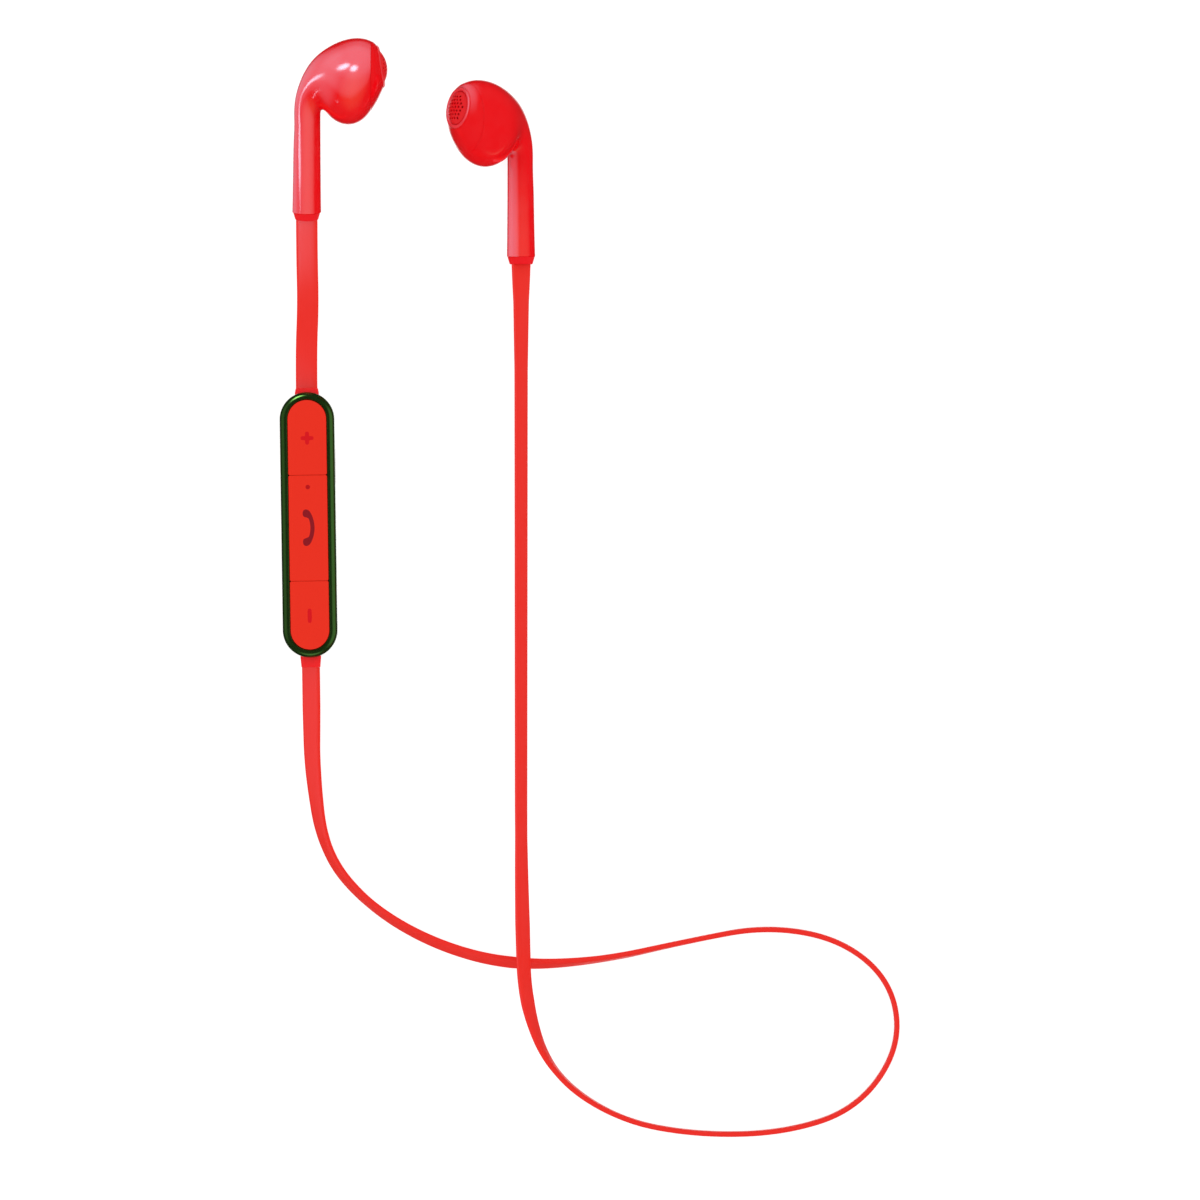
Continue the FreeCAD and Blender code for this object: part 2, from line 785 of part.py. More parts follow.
def make_cords():
    """The short cord from the left earbud to the pod, and the long one to the right earbud."""
    start, first = bud_exit("left", SHORT_FIRST_RUN)
    end, last = pod_exit(1, SHORT_LAST_RUN)
    points = [start, first, *(Vector(*row[:3]) for row in SHORT_ROUTE), last, end]
    leans = [0.0, 0.0, *(row[3] for row in SHORT_ROUTE), 0.0, 0.0]
    short = doc.addObject("Part::Feature", "short_cord")
    short.Shape = ribbon(points, leans, "short_cord")
    keep(short, "short_cord")
    start, first = pod_exit(-1, LONG_FIRST_RUN)
    end, last = bud_exit("right", LONG_LAST_RUN)
    points = [start, first, *(Vector(*row[:3]) for row in LONG_ROUTE), last, end]
    bud_lean = FLAT_LEAN - size("right_bud_roll")
    leans = [FLAT_LEAN, LONG_FIRST_LEAN, *(row[3] for row in LONG_ROUTE), LONG_LAST_LEAN, bud_lean]
    long = doc.addObject("Part::Feature", "long_cord")
    long.Shape = ribbon(points, leans, "long_cord")
    keep(long, "long_cord")


# Control pod


def pod_placement():
    """Where the pod lies, on its back cover, and how far it leans about the upright."""
    lean = Rotation(Vector(0, 0, 1), size("pod_lean"))
    return Placement(Vector(size("pod_place_x"), size("pod_place_y"), 0), lean)


def base_plane(body):
    """The XY plane of a body."""
    return next(item for item in body.Origin.OriginFeatures if item.Role == "XY_Plane")


def slot_sketch(body, name, width, length, height):
    """A sketch of a long shape with round ends, along Y, at a height over the XY plane."""
    sketch = body.newObject("Sketcher::SketchObject", name)
    sketch.AttachmentSupport = (base_plane(body), [""])
    sketch.MapMode = "FlatFace"
    sketch.setExpression("AttachmentOffset.Base.z", height)
    radius = FIRST_SLOT_RADIUS
    reach = FIRST_SLOT_REACH
    up = Vector(0, 0, 1)
    top = Part.ArcOfCircle(Part.Circle(Vector(0, reach, 0), up, radius), 0, math.pi)
    bottom = Part.ArcOfCircle(Part.Circle(Vector(0, -reach, 0), up, radius), math.pi, 2 * math.pi)
    left = Part.LineSegment(Vector(-radius, reach, 0), Vector(-radius, -reach, 0))
    right = Part.LineSegment(Vector(radius, -reach, 0), Vector(radius, reach, 0))
    sketch.addGeometry([top, left, bottom, right], False)
    for number in range(4):
        sketch.addConstraint(Sketcher.Constraint("Tangent", number, 2, (number + 1) % 4, 1))
    sketch.addConstraint(Sketcher.Constraint("Symmetric", 0, 3, 2, 3, -1, 1))
    sketch.addConstraint(Sketcher.Constraint("PointOnObject", 0, 3, -2))
    sketch.addConstraint(Sketcher.Constraint("Equal", 0, 2))
    round_end = sketch.addConstraint(Sketcher.Constraint("Radius", 0, radius))
    span = sketch.addConstraint(Sketcher.Constraint("DistanceY", 2, 3, 0, 3, 2 * reach))
    sketch.renameConstraint(round_end, "round_end")
    sketch.renameConstraint(span, "span")
    sketch.setExpression("Constraints.round_end", f"({width}) / 2")
    sketch.setExpression("Constraints.span", f"({length}) - ({width})")
    return sketch


def slot_pad(body, name, width, length, height, thickness):
    """A slot-shaped plate added to a body."""
    pad = body.newObject("PartDesign::Pad", name)
    pad.Profile = slot_sketch(body, f"{name}_sketch", width, length, height)
    pad.setExpression("Length", thickness)
    doc.recompute()
    return pad


def slot_pocket(body, name, width, length, height, depth):
    """A slot-shaped room cut upwards into a body."""
    pocket = body.newObject("PartDesign::Pocket", name)
    pocket.Profile = slot_sketch(body, f"{name}_sketch", width, length, height)
    pocket.setExpression("Length", depth)
    pocket.Reversed = True
    before = body.Shape.Volume
    doc.recompute()
    if body.Shape.Volume >= before:
        raise RuntimeError(f"{name} cuts nothing")
    return pocket


def round_edges(body, name, base, height, radius):
    """Round the edges of a body that lie at one height."""
    names = []
    for number, edge in enumerate(base.Shape.Edges, 1):
        bounds = edge.BoundBox
        if abs(bounds.ZMin - height) < 0.001 and abs(bounds.ZMax - height) < 0.001:
            names.append(f"Edge{number}")
    fillet = body.newObject("PartDesign::Fillet", name)
    fillet.Base = (base, names)
    fillet.setExpression("Radius", radius)
    doc.recompute()
    return fillet


def block(name, x, y, z, width, length, height):
    """A box centred on x and y that stands at z, bound to cells where it is given names."""
    item = new("Part::Box", name, Length=width, Width=length, Height=height)
    doc.recompute()
    return place(item, x=x - item.Length.Value / 2, y=y - item.Width.Value / 2, z=z)


def post(name, x, y, z, radius, height):
    """An upright cylinder."""
    return place(new("Part::Cylinder", name, Radius=radius, Height=height), x=x, y=y, z=z)


def make_bezel(where):
    """The metal frame round the pod, with slots for the cords and the charging port."""
    body = doc.addObject("PartDesign::Body", "bezel_body")
    pad = slot_pad(
        body,
        "bezel_ring",
        "Sizes.pod_width",
        "Sizes.pod_length",
        "Sizes.bezel_bottom",
        "Sizes.bezel_top - Sizes.bezel_bottom",
    )
    top = round_edges(body, "bezel_top_round", pad, size("bezel_top"), "Sizes.bezel_round")
    round_edges(body, "bezel_foot_round", top, size("bezel_bottom"), "Sizes.bezel_foot_round")
    slot_pocket(
        body,
        "bezel_mouth",
        "Sizes.pod_lip_width",
        "Sizes.pod_lip_length",
        "Sizes.bezel_bottom",
        "Sizes.bezel_top - Sizes.bezel_bottom",
    )
    slot_pocket(
        body,
        "bezel_room",
        "Sizes.pod_room_width",
        "Sizes.pod_room_length",
        "Sizes.bezel_bottom",
        "Sizes.bezel_top - Sizes.bezel_bottom - Sizes.lip_thickness",
    )
    slots = []
    for sign in (-1, 1):
        slots.append(
            block(
                "bezel_cord_slot",
                0,
                sign * size("pod_length") / 2,
                size("cord_height") - size("grommet_neck_height") / 2,
                "Sizes.grommet_neck_width",
                "Sizes.pod_width / 2",
                "Sizes.grommet_neck_height",
            )
        )
    port = block(
        "bezel_port_slot",
        size("pod_width") / 2,
        size("receptacle_middle"),
        size("board_bottom") - size("receptacle_height") - size("fit_gap"),
        "Sizes.pod_width / 2",
        "Sizes.receptacle_width + 2 * Sizes.fit_gap",
        "Sizes.receptacle_height + 2 * Sizes.fit_gap",
    )
    keep(cut("bezel_frame", body, *slots, port), "bezel_frame", where)


def make_back_cover(where):
    """The plastic back with its locating rim, the posts for the board and the sound hole."""
    body = doc.addObject("PartDesign::Body", "cover_body")
    plate = slot_pad(
        body,
        "cover_plate",
        "Sizes.pod_width - 2 * Sizes.bezel_foot_round",
        "Sizes.pod_length - 2 * Sizes.bezel_foot_round",
        "0",
        "Sizes.bezel_bottom",
    )
    round_edges(body, "cover_round", plate, 0, "Sizes.cover_edge")
    slot_pad(
        body,
        "cover_rim",
        "Sizes.pod_room_width - Sizes.fit_gap",
        "Sizes.pod_room_length - Sizes.fit_gap",
        "Sizes.bezel_bottom",
        "Sizes.cover_rim_height",
    )
    slot_pocket(
        body,
        "cover_well",
        "Sizes.pod_room_width - 2 * Sizes.cover_rim_wall",
        "Sizes.pod_room_length - 2 * Sizes.cover_rim_wall",
        "Sizes.bezel_bottom",
        "Sizes.cover_rim_height",
    )
    posts = []
    for x_sign in (-1, 1):
        for y_sign in (-1, 1):
            posts.append(
                post(
                    "cover_post",
                    x_sign * size("post_across"),
                    y_sign * size("post_along"),
                    size("bezel_bottom") / 2,
                    "Sizes.post_radius",
                    "Sizes.board_bottom - Sizes.bezel_bottom / 2",
                )
            )
    hole = post(
        "cover_sound_hole",
        0,
        size("microphone_middle"),
        -size("bezel_bottom"),
        "Sizes.boot_bore_radius",
        "Sizes.bezel_bottom * 3",
    )
    keep(cut("back_cover", fuse("cover_with_posts", body, *posts), hole), "back_cover", where)


def pillow(name):
    """The long cylinder whose top is the crown of the keys."""
    item = new("Part::Cylinder", name, Radius="Sizes.key_pillow_radius", Height="Sizes.pod_length")
    z = size("key_crown") - size("key_pillow_radius")
    return place(item, y=size("pod_length") / 2, z=z, axis=Vector(1, 0, 0), angle=90)


def plus_mark(name):
    """Two crossed bars that reach through the top of the first key."""
    z = size("key_crown") - size("symbol_depth")
    y = size("plus_middle")
    long, stroke, tall = "2 * Sizes.plus_reach", "Sizes.symbol_stroke", "Sizes.mark_tool_height"
    across = block(f"{name}_across", 0, y, z, long, stroke, tall)
    along = block(f"{name}_along", 0, y, z, stroke, long, tall)
    return fuse(name, across, along)


def minus_mark(name):
    """One bar that reaches through the top of the last key."""
    z = size("key_crown") - size("symbol_depth")
    return block(
        name,
        0,
        size("minus_middle"),
        z,
        "Sizes.symbol_stroke",
        "2 * Sizes.minus_reach",
        "Sizes.mark_tool_height",
    )


def handset_mark(name):
    """A curved bar with a round lobe at each end."""
    z = size("key_crown") - size("symbol_depth")
    y = size("call_middle")
    centre = size("symbol_stroke") - size("handset_radius")
    tall = "Sizes.mark_tool_height"
    outer = post(f"{name}_outer", centre, y, z, "Sizes.handset_radius + Sizes.symbol_stroke / 2", tall)
    inner = post(f"{name}_inner", centre, y, z, "Sizes.handset_radius - Sizes.symbol_stroke / 2", tall)
    window = block(
        f"{name}_window",
        size("handset_radius") / 2,
        y,
        z,
        "Sizes.handset_radius * 2",
        "Sizes.handset_reach * 2",
        tall,
    )
    bow = common(f"{name}_bow", cut(f"{name}_ring", outer, inner), window)
    lobe_x = centre + math.sqrt(size("handset_radius") ** 2 - size("handset_reach") ** 2)
    lobes = [
        post(f"{name}_lobe", lobe_x, y + sign * size("handset_reach"), z, "Sizes.handset_lobe", tall)
        for sign in (-1, 1)
    ]
    return fuse(name, bow, *lobes)


def make_keys(where):
    """The three keys of the pod's face, their marks and the window of the light."""
    far = size("pod_length")
    gap = size("key_gap") / 2
    keys = {
        "plus": (size("plus_divide") + gap, far, size("plus_middle"), plus_mark, "plus_symbol"),
        "call": (
            size("minus_divide") + gap,
            size("plus_divide") - gap,
            size("call_middle"),
            handset_mark,
            "handset_symbol",
        ),
        "minus": (-far, size("minus_divide") - gap, size("minus_middle"), minus_mark, "minus_symbol"),
    }
    for name, (start, end, middle, mark, symbol) in keys.items():
        body = doc.addObject("PartDesign::Body", f"{name}_key_body")
        slot_pad(
            body,
            f"{name}_key_face",
            "Sizes.key_width",
            "Sizes.key_length",
            "Sizes.key_underside",
            "Sizes.key_crown - Sizes.key_underside",
        )
        slot_pad(
            body,
            f"{name}_key_flange",
            "Sizes.key_flange_width",
            "Sizes.key_flange_length",
            "Sizes.key_underside",
            "Sizes.key_flange_thickness",
        )
        crowned = common(f"{name}_key_crowned", body, pillow(f"{name}_key_pillow"))
        stretch = doc.addObject("Part::Box", f"{name}_key_stretch")
        stretch.setExpression("Length", "Sizes.pod_width")
        stretch.setExpression("Height", "Sizes.pod_width")
        stretch.Width = end - start
        place(stretch, x=-size("pod_width") / 2, y=start, z=0)
        key = common(f"{name}_key_piece", crowned, stretch)
        plunger = post(
            f"{name}_plunger",
            0,
            middle,
            size("plunger_bottom"),
            "Sizes.plunger_radius",
            "Sizes.key_underside - Sizes.plunger_bottom + Sizes.key_flange_thickness",
        )
        key = fuse(f"{name}_key", key, plunger)
        tools = [mark(f"{name}_recess")]
        if name == "call":
            tools.append(lens_rod("call_lens_hole"))
        keep(cut(f"{name}_button", key, *tools), f"{name}_button", where)
        keep(common(symbol, mark(f"{name}_mark"), pillow(f"{name}_mark_pillow")), symbol, where)
    keep(common("indicator_lens", lens_rod("lens_body"), pillow("lens_pillow")), "indicator_lens", where)


def lens_rod(name):
    """A thin rod through the middle key, over the light."""
    return post(
        name,
        0,
        size("lens_place"),
        size("key_underside"),
        "Sizes.lens_radius",
        "Sizes.key_crown - Sizes.key_underside + Sizes.mark_tool_height",
    )


def make_grommet(name, sign, reach, where):
    """A flat rubber sleeve through the pod's end, with a flange inside."""
    room_end = size("pod_room_length") / 2
    wall_end = size("pod_length") / 2
    thickness = size("grommet_flange_thickness")
    z = size("cord_height")
    sideways = Vector(1, 0, 0)
    upwards = Vector(0, 0, 1)

    def section(y, width, height):
        return stadium_wire(Vector(0, sign * y, z), sideways, upwards, width, height)

    flange_at = room_end - size("flange_setback")
    neck = (size("grommet_neck_width"), size("grommet_neck_height"))
    flange = (size("grommet_flange_width"), size("grommet_flange_height"))
    tip = (size("cord_width") + 2 * size("sleeve_lip"), size("cord_thickness") + 2 * size("sleeve_lip"))
    sections = (
        (section(flange_at - thickness, *flange), section(flange_at, *flange)),
        (section(flange_at - thickness / 2, *neck), section(wall_end, *neck)),
        (section(wall_end, *neck), section(wall_end + reach, *tip)),
    )
    solids = [Part.makeLoft(list(pair), True, True) for pair in sections]
    item = doc.addObject("Part::Feature", name)
    item.Shape = solids[0].fuse(solids[1:]).removeSplitter()
    keep(item, name, where)


def make_electronics(where):
    """The circuit board and what it carries, the battery and the microphone's boot."""
    body = doc.addObject("PartDesign::Body", "board_body")
    slot_pad(
        body,
        "board_plate",
        "Sizes.board_width",
        "Sizes.board_length",
        "Sizes.board_bottom",
        "Sizes.board_thickness",
    )
    keep(body, "circuit_board", where)
    under = size("board_bottom")
    over = under + size("board_thickness")
    domes = []
    for middle in ("plus_middle", "call_middle", "minus_middle"):
        base = post(f"{middle}_dome", 0, size(middle), over, "Sizes.dome_radius", "Sizes.dome_height / 2")
        cap = new(
            "Part::Cone",
            f"{middle}_dome_cap",
            Radius1="Sizes.dome_shoulder_radius",
            Radius2="Sizes.dome_top_radius",
            Height="Sizes.dome_height / 2",
        )
        place(cap, y=size(middle), z=over + size("dome_height") / 2)
        domes.append(fuse(f"{middle}_dome_switch", base, cap))
    keep(group("dome_switches", *domes), "dome_switches", where)
    battery = block(
        "battery_block",
        0,
        size("battery_middle"),
        size("bezel_bottom"),
        "Sizes.battery_width",
        "Sizes.battery_length",
        "Sizes.battery_thickness",
    )
    keep(battery, "battery", where)
    shield = block(
        "radio_block",
        0,
        size("shield_middle"),
        under - size("shield_height"),
        "Sizes.shield_width",
        "Sizes.shield_length",
        "Sizes.shield_height",
    )
    keep(shield, "radio_shield", where)
    antenna = block(
        "antenna_block",
        0,
        size("antenna_middle"),
        over,
        "Sizes.antenna_width",
        "Sizes.antenna_length",
        "Sizes.antenna_height",
    )
    keep(antenna, "chip_antenna", where)
    led = block(
        "led_block",
        0,
        size("lens_place"),
        over,
        "Sizes.led_width",
        "Sizes.led_length",
        "Sizes.led_height",
    )
    keep(led, "indicator_led", where)
    capsule_bottom = under - size("microphone_height")
    middle = size("microphone_middle")
    capsule = post(
        "microphone_can", 0, middle, capsule_bottom, "Sizes.microphone_radius", "Sizes.microphone_height"
    )
    keep(capsule, "microphone", where)
    boot = cut(
        "microphone_boot",
        post(
            "boot_body",
            0,
            middle,
            size("bezel_bottom"),
            "Sizes.boot_radius",
            "Sizes.board_bottom - Sizes.microphone_height - Sizes.bezel_bottom",
        ),
        post("boot_bore", 0, middle, 0, "Sizes.boot_bore_radius", "Sizes.pod_width"),
    )
    keep(boot, "microphone_boot", where)
    make_receptacle(where)


def make_receptacle(where):
    """The charging receptacle: a sheet-metal mouth with a tongue inside."""
    bottom = size("board_bottom") - size("receptacle_height")
    middle = size("receptacle_middle")
    centre = size("pod_width") / 2 - size("receptacle_depth") / 2
    can = block(
        "receptacle_can",
        centre,
        middle,
        bottom,
        "Sizes.receptacle_depth",
        "Sizes.receptacle_width",
        "Sizes.receptacle_height",
    )
    mouth = block(
        "receptacle_mouth",
        centre + 2 * size("receptacle_sheet"),
        middle,
        bottom + size("receptacle_sheet"),
        "Sizes.receptacle_depth",
        "Sizes.receptacle_width - 2 * Sizes.receptacle_sheet",
        "Sizes.receptacle_height - 2 * Sizes.receptacle_sheet",
    )
    tongue = block(
        "receptacle_tongue",
        centre,
        middle,
        bottom + size("receptacle_height") / 2,
        "Sizes.tongue_length",
        "Sizes.tongue_width",
        "Sizes.tongue_thickness",
    )
    shell = cut("receptacle_shell", can, mouth)
    keep(fuse("charging_receptacle", shell, tongue), "charging_receptacle", where)


def make_earbud(side):
    """Every piece of one earbud, in its place."""
    where = bud_placement(side)
    make_shells(side, where)
    make_port(side, where)
    make_driver(side, where)
    make_stem_pieces(side, where)


def make_pod():
    """Every piece of the control pod, in its place."""
    where = pod_placement()
    make_bezel(where)
    make_back_cover(where)
    make_keys(where)
    make_electronics(where)
    make_grommet("upper_grommet", 1, size("upper_grommet_reach"), where)
    make_grommet("lower_grommet", -1, size("lower_grommet_reach"), where)


def check_document():
    """Stop if any object failed, or if a sub-part has no sound shape."""
    for item in doc.Objects:
        if "Invalid" in item.State or "Error" in item.State:
            raise RuntimeError(f"{item.Name} failed: {item.State}")
    for item in sub_parts:
        if item.Shape.isNull() or not item.Shape.isValid():
            raise RuntimeError(f"{item.Label} has no sound shape")


def export_parts():
    """Write each sub-part to its own file."""
    os.makedirs("parts", exist_ok=True)
    for item in sub_parts:
        item.Shape.exportStep(f"parts/{item.Label}.step")


fill_sheets()
for bud_side in ("left", "right"):
    make_earbud(bud_side)
make_pod()
make_cords()
doc.recompute()
check_document()
export_parts()
print(f"{len(sub_parts)} sub-parts")
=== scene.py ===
"""The looks of a pair of cord-linked earphones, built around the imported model.

Lengths are in metres and written in thousandths, so 5.7e-3 is 5.7 mm.  +X runs from the left
earbud to the right one, +Y from the pod to the earbuds, and +Z up from the table.
"""
import json
import logging
import math
from dataclasses import dataclass
from enum import Enum
from typing import Any

import bmesh
import bpy
import numpy as np
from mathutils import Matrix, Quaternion, Vector

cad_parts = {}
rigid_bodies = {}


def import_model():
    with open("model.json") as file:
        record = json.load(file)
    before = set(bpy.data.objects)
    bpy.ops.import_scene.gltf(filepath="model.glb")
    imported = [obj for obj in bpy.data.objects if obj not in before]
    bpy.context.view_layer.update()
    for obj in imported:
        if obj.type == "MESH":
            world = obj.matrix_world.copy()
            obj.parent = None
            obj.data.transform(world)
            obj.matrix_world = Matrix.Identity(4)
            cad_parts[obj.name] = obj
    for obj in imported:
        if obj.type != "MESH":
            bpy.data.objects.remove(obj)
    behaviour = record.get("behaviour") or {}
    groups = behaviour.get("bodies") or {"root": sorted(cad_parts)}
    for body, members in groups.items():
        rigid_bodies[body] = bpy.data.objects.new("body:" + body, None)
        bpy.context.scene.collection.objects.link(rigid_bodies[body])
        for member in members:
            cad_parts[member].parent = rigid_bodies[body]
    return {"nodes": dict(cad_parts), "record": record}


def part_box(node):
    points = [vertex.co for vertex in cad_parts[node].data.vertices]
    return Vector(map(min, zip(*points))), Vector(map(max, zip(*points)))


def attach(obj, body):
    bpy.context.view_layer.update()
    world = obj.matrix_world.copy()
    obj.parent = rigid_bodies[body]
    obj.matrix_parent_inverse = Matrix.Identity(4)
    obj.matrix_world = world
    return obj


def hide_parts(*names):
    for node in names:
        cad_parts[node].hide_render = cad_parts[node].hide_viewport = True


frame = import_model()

LOG = logging.getLogger("earphones")
Array = np.ndarray
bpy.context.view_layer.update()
MERGE = 1e-7
POLE_RADIUS = 1e-9
SHARP_ANGLE = math.radians(38)
FULL_TURN = 2 * math.pi
QUARTER_TURN = math.pi / 2


class Coords(Enum):
    """What a material's pattern is laid out on."""

    OBJECT = "Object"
    UV = "UV"


class Pattern(Enum):
    """How a surface was made, and so what its fine detail looks like."""

    MOULDED = "moulded"
    EXTRUDED = "extruded"
    POLISHED = "polished"
    ROLLED = "rolled"
    PRINTED = "printed"
    WOUND = "wound"
    CELLULAR = "cellular"


# For each pattern that is a noise: its scale along Y against the other axes, its detail, its roughness
NOISES = {
    Pattern.MOULDED: (1.0, 3.0, 0.55),
    Pattern.EXTRUDED: (0.02, 2.0, 0.4),
    Pattern.POLISHED: (0.15, 4.0, 0.5),
    Pattern.ROLLED: (0.05, 2.0, 0.5),
}
# Gloss changes from one handled patch to the next, about 4 mm away, and is never sharper than the least
HANDLED_SCALE = 260.0
LEAST_ROUGHNESS = 0.02


def linear(colour: str) -> tuple[float, float, float, float]:
    """Turn an sRGB hex colour into linear light.

    Args:
        colour: Six hex digits after a hash.

    Returns:
        Red, green, blue and a full alpha.  Each channel c above 0.04045 is
        ((c + 0.055) / 1.055) to the power 2.4, and a darker one is c / 12.92.
    """
    values = [int(colour[place : place + 2], 16) / 255 for place in (1, 3, 5)]
    light = [((c + 0.055) / 1.055) ** 2.4 if c > 0.04045 else c / 12.92 for c in values]
    return (*light, 1.0)


def add_node(
    tree: bpy.types.NodeTree, kind: str, inputs: dict[str, Any], **settings: Any
) -> bpy.types.Node:
    """Add a shader node with its settings and links.

    Args:
        tree: The node tree to add to.
        kind: The node's type.
        inputs: For each input socket, by identifier, a value or the socket that feeds it.
        **settings: The node's own properties.

    Returns:
        The new node.
    """
    node = tree.nodes.new(kind)
    for name, value in settings.items():
        setattr(node, name, value)
    sockets = {socket.identifier: socket for socket in node.inputs}
    for name, value in inputs.items():
        if isinstance(value, bpy.types.NodeSocket):
            tree.links.new(value, sockets[name])
        else:
            sockets[name].default_value = value
    return node


@dataclass(frozen=True)
class Finish:
    """What a piece is made of and how its surface was made.

    The grain is the size of the pattern and the relief is how deep it is, both in metres.  The
    pattern runs between the colour and the shade, and the roughness swings evenly both ways.
    """

    name: str
    colour: str
    shade: str
    roughness: float
    grain: float
    relief: float
    pattern: Pattern = Pattern.MOULDED
    coords: Coords = Coords.OBJECT
    metallic: float = 0.0
    ior: float = 1.5
    specular: float = 0.5
    coat: float = 0.0
    coat_roughness: float = 0.05
    swing: float = 0.04

    def height(self, tree: bpy.types.NodeTree, place: bpy.types.NodeSocket) -> bpy.types.NodeSocket:
        """Add the nodes of the fine pattern.

        Args:
            tree: The material's tree.
            place: The coordinates of the pattern.

        Returns:
            The socket that holds the pattern, from 0 to 1.
        """
        scale = 1 / self.grain
        if self.pattern in NOISES:
            stretch, detail, roughness = NOISES[self.pattern]
            drawn = {"Vector": place, "Scale": (1.0, stretch, 1.0)}
            along = add_node(tree, "ShaderNodeMapping", drawn).outputs["Vector"]
            noise = {"Vector": along, "Scale": scale, "Detail": detail, "Roughness": roughness}
            return add_node(tree, "ShaderNodeTexNoise", noise).outputs["Fac"]
        if self.pattern is Pattern.PRINTED:
            cells = {"Vector": place, "Scale": scale, "Randomness": 0.6}
            edge = add_node(
                tree, "ShaderNodeTexVoronoi", cells, feature="DISTANCE_TO_EDGE", distance="MANHATTAN"
            )
            track = {"Value": edge.outputs["Distance"], "From Min": 0.06, "From Max": 0.10}
            return add_node(tree, "ShaderNodeMapRange", track).outputs["Result"]
        if self.pattern is Pattern.WOUND:
            turns = {"Vector": place, "Scale": scale, "Distortion": 0.2}
            return add_node(tree, "ShaderNodeTexWave", turns, bands_direction="X").outputs["Fac"]
        cells = {"Vector": place, "Scale": scale}
        return add_node(tree, "ShaderNodeTexVoronoi", cells, feature="F1").outputs["Distance"]

    def material(self) -> bpy.types.Material:
        """Make the finish's material the first time that it is asked for.

        Returns:
            The material.  Its colour, gloss and relief follow the fine pattern and the patches
            that handling leaves.
        """
        made = bpy.data.materials.get(self.name)
        if made is not None:
            return made
        made = bpy.data.materials.new(self.name)
        made.use_nodes = True
        tree = made.node_tree
        tree.nodes.clear()
        place = add_node(tree, "ShaderNodeTexCoord", {}).outputs[self.coords.value]
        height = self.height(tree, place)
        tint = {"Factor_Float": height, "A_Color": linear(self.colour), "B_Color": linear(self.shade)}
        colour = add_node(tree, "ShaderNodeMix", tint, data_type="RGBA")
        patches = {"Vector": place, "Scale": HANDLED_SCALE, "Detail": 2.0}
        gloss = {
            "Value": add_node(tree, "ShaderNodeTexNoise", patches).outputs["Fac"],
            "From Min": 0.3,
            "From Max": 0.7,
            "To Min": max(LEAST_ROUGHNESS, self.roughness - self.swing),
            "To Max": self.roughness + self.swing,
        }
        rough = add_node(tree, "ShaderNodeMapRange", gloss)
        relief = {"Height": height, "Distance": self.relief, "Strength": 1.0}
        bump = add_node(tree, "ShaderNodeBump", relief)
        surface = {
            "Base Color": output_of(colour, "Result_Color"),
            "Roughness": rough.outputs["Result"],
            "Normal": bump.outputs["Normal"],
            "Metallic": self.metallic,
            "Coat Weight": self.coat,
            "Coat Roughness": self.coat_roughness,
            "Specular IOR Level": self.specular,
        }
        if self.metallic == 0:
            surface["IOR"] = self.ior
        shader = add_node(tree, "ShaderNodeBsdfPrincipled", surface)
        add_node(tree, "ShaderNodeOutputMaterial", {"Surface": shader.outputs["BSDF"]})
        return made


# ABS, injection moulded in a polished tool: deep gloss, with the faint waviness of a moulded skin
SHELL = Finish(
    "polished_abs", "#EC000C", "#E8000A", 0.18, 1.6e-3, 1e-6,
    coat=1.0, coat_roughness=0.07, specular=0.6,
)
# The same red ABS in the port's rim, from a finely blasted tool: softer gloss.  Its paler, pinker colour is
# a painted highlight
RING = Finish("blasted_abs", "#E8303A", "#E02832", 0.34, 0.20e-3, 3e-6)
# TPE, moulded over the end of the cord: soft satin
PLUG = Finish("moulded_tpe", "#EA0010", "#E2000E", 0.42, 0.25e-3, 3e-6, specular=0.2)
# Stainless steel sheet, pressed to a dome, etched with holes and lacquered red: an even satin
MESH = Finish("lacquered_steel", "#E60612", "#DA0410", 0.40, 0.15e-3, 2e-6, specular=0.3)
# TPE, drawn through a die: satin, with hair-fine lines along the cord that are drawn 0.1 mm apart to show
CORD = Finish(
    "extruded_tpe", "#E9261A", "#E32116", 0.40, 0.10e-3, 3e-6,
    pattern=Pattern.EXTRUDED, coords=Coords.UV, specular=0.2,
)
# The cord's own TPE, moulded round it as sleeves: an even satin with no lines.  Its colour is brighter and
# a deeper red than the cord's: painted light that lifts the shade beside the bezel, and painted shade where
# the cord leaves the pod
SLEEVE = Finish("sleeve_tpe", "#F40C12", "#EC0A10", 0.40, 0.25e-3, 3e-6, specular=0.3)
# Zinc casting, polished and lacquered dark green: a deep body colour under a soft mirror
BEZEL = Finish(
    "green_lacquered_zinc", "#4E7C38", "#467232", 0.20, 0.5e-3, 0.6e-6,
    pattern=Pattern.POLISHED, metallic=0.92,
)
# ABS keys from a spark-eroded tool: a fine even grain, drawn 0.2 mm wide so that it shows
KEY = Finish("spark_grained_abs", "#E52C17", "#DE2713", 0.46, 0.20e-3, 4e-6, specular=0.12)
# Second shot of ABS in the keys' symbols: smooth and darker
SYMBOL = Finish("second_shot_abs", "#D40814", "#CA0612", 0.46, 0.30e-3, 2e-6, specular=0.12)
# The handset's second shot is darker still
HANDSET = Finish("dark_second_shot_abs", "#8E101C", "#820E18", 0.46, 0.30e-3, 2e-6, specular=0.12)
# Light guide of tinted polycarbonate: glassy
LENS = Finish("tinted_polycarbonate", "#B80E14", "#AC0C12", 0.16, 0.50e-3, 1e-6, ior=1.58, specular=0.2)
# The keys' ABS in the back cover: the same fine even grain, a little glossier
COVER = Finish("grained_abs_cover", "#D01C14", "#C81810", 0.40, 0.20e-3, 4e-6)
# Nickel-plated steel sheet of the charging mouth and spring domes: grey, streaked by the rolls
NICKEL = Finish(
    "nickel_plated_steel", "#C9C6BE", "#B9B6AE", 0.24, 0.12e-3, 1e-6,
    pattern=Pattern.ROLLED, metallic=1.0,
)
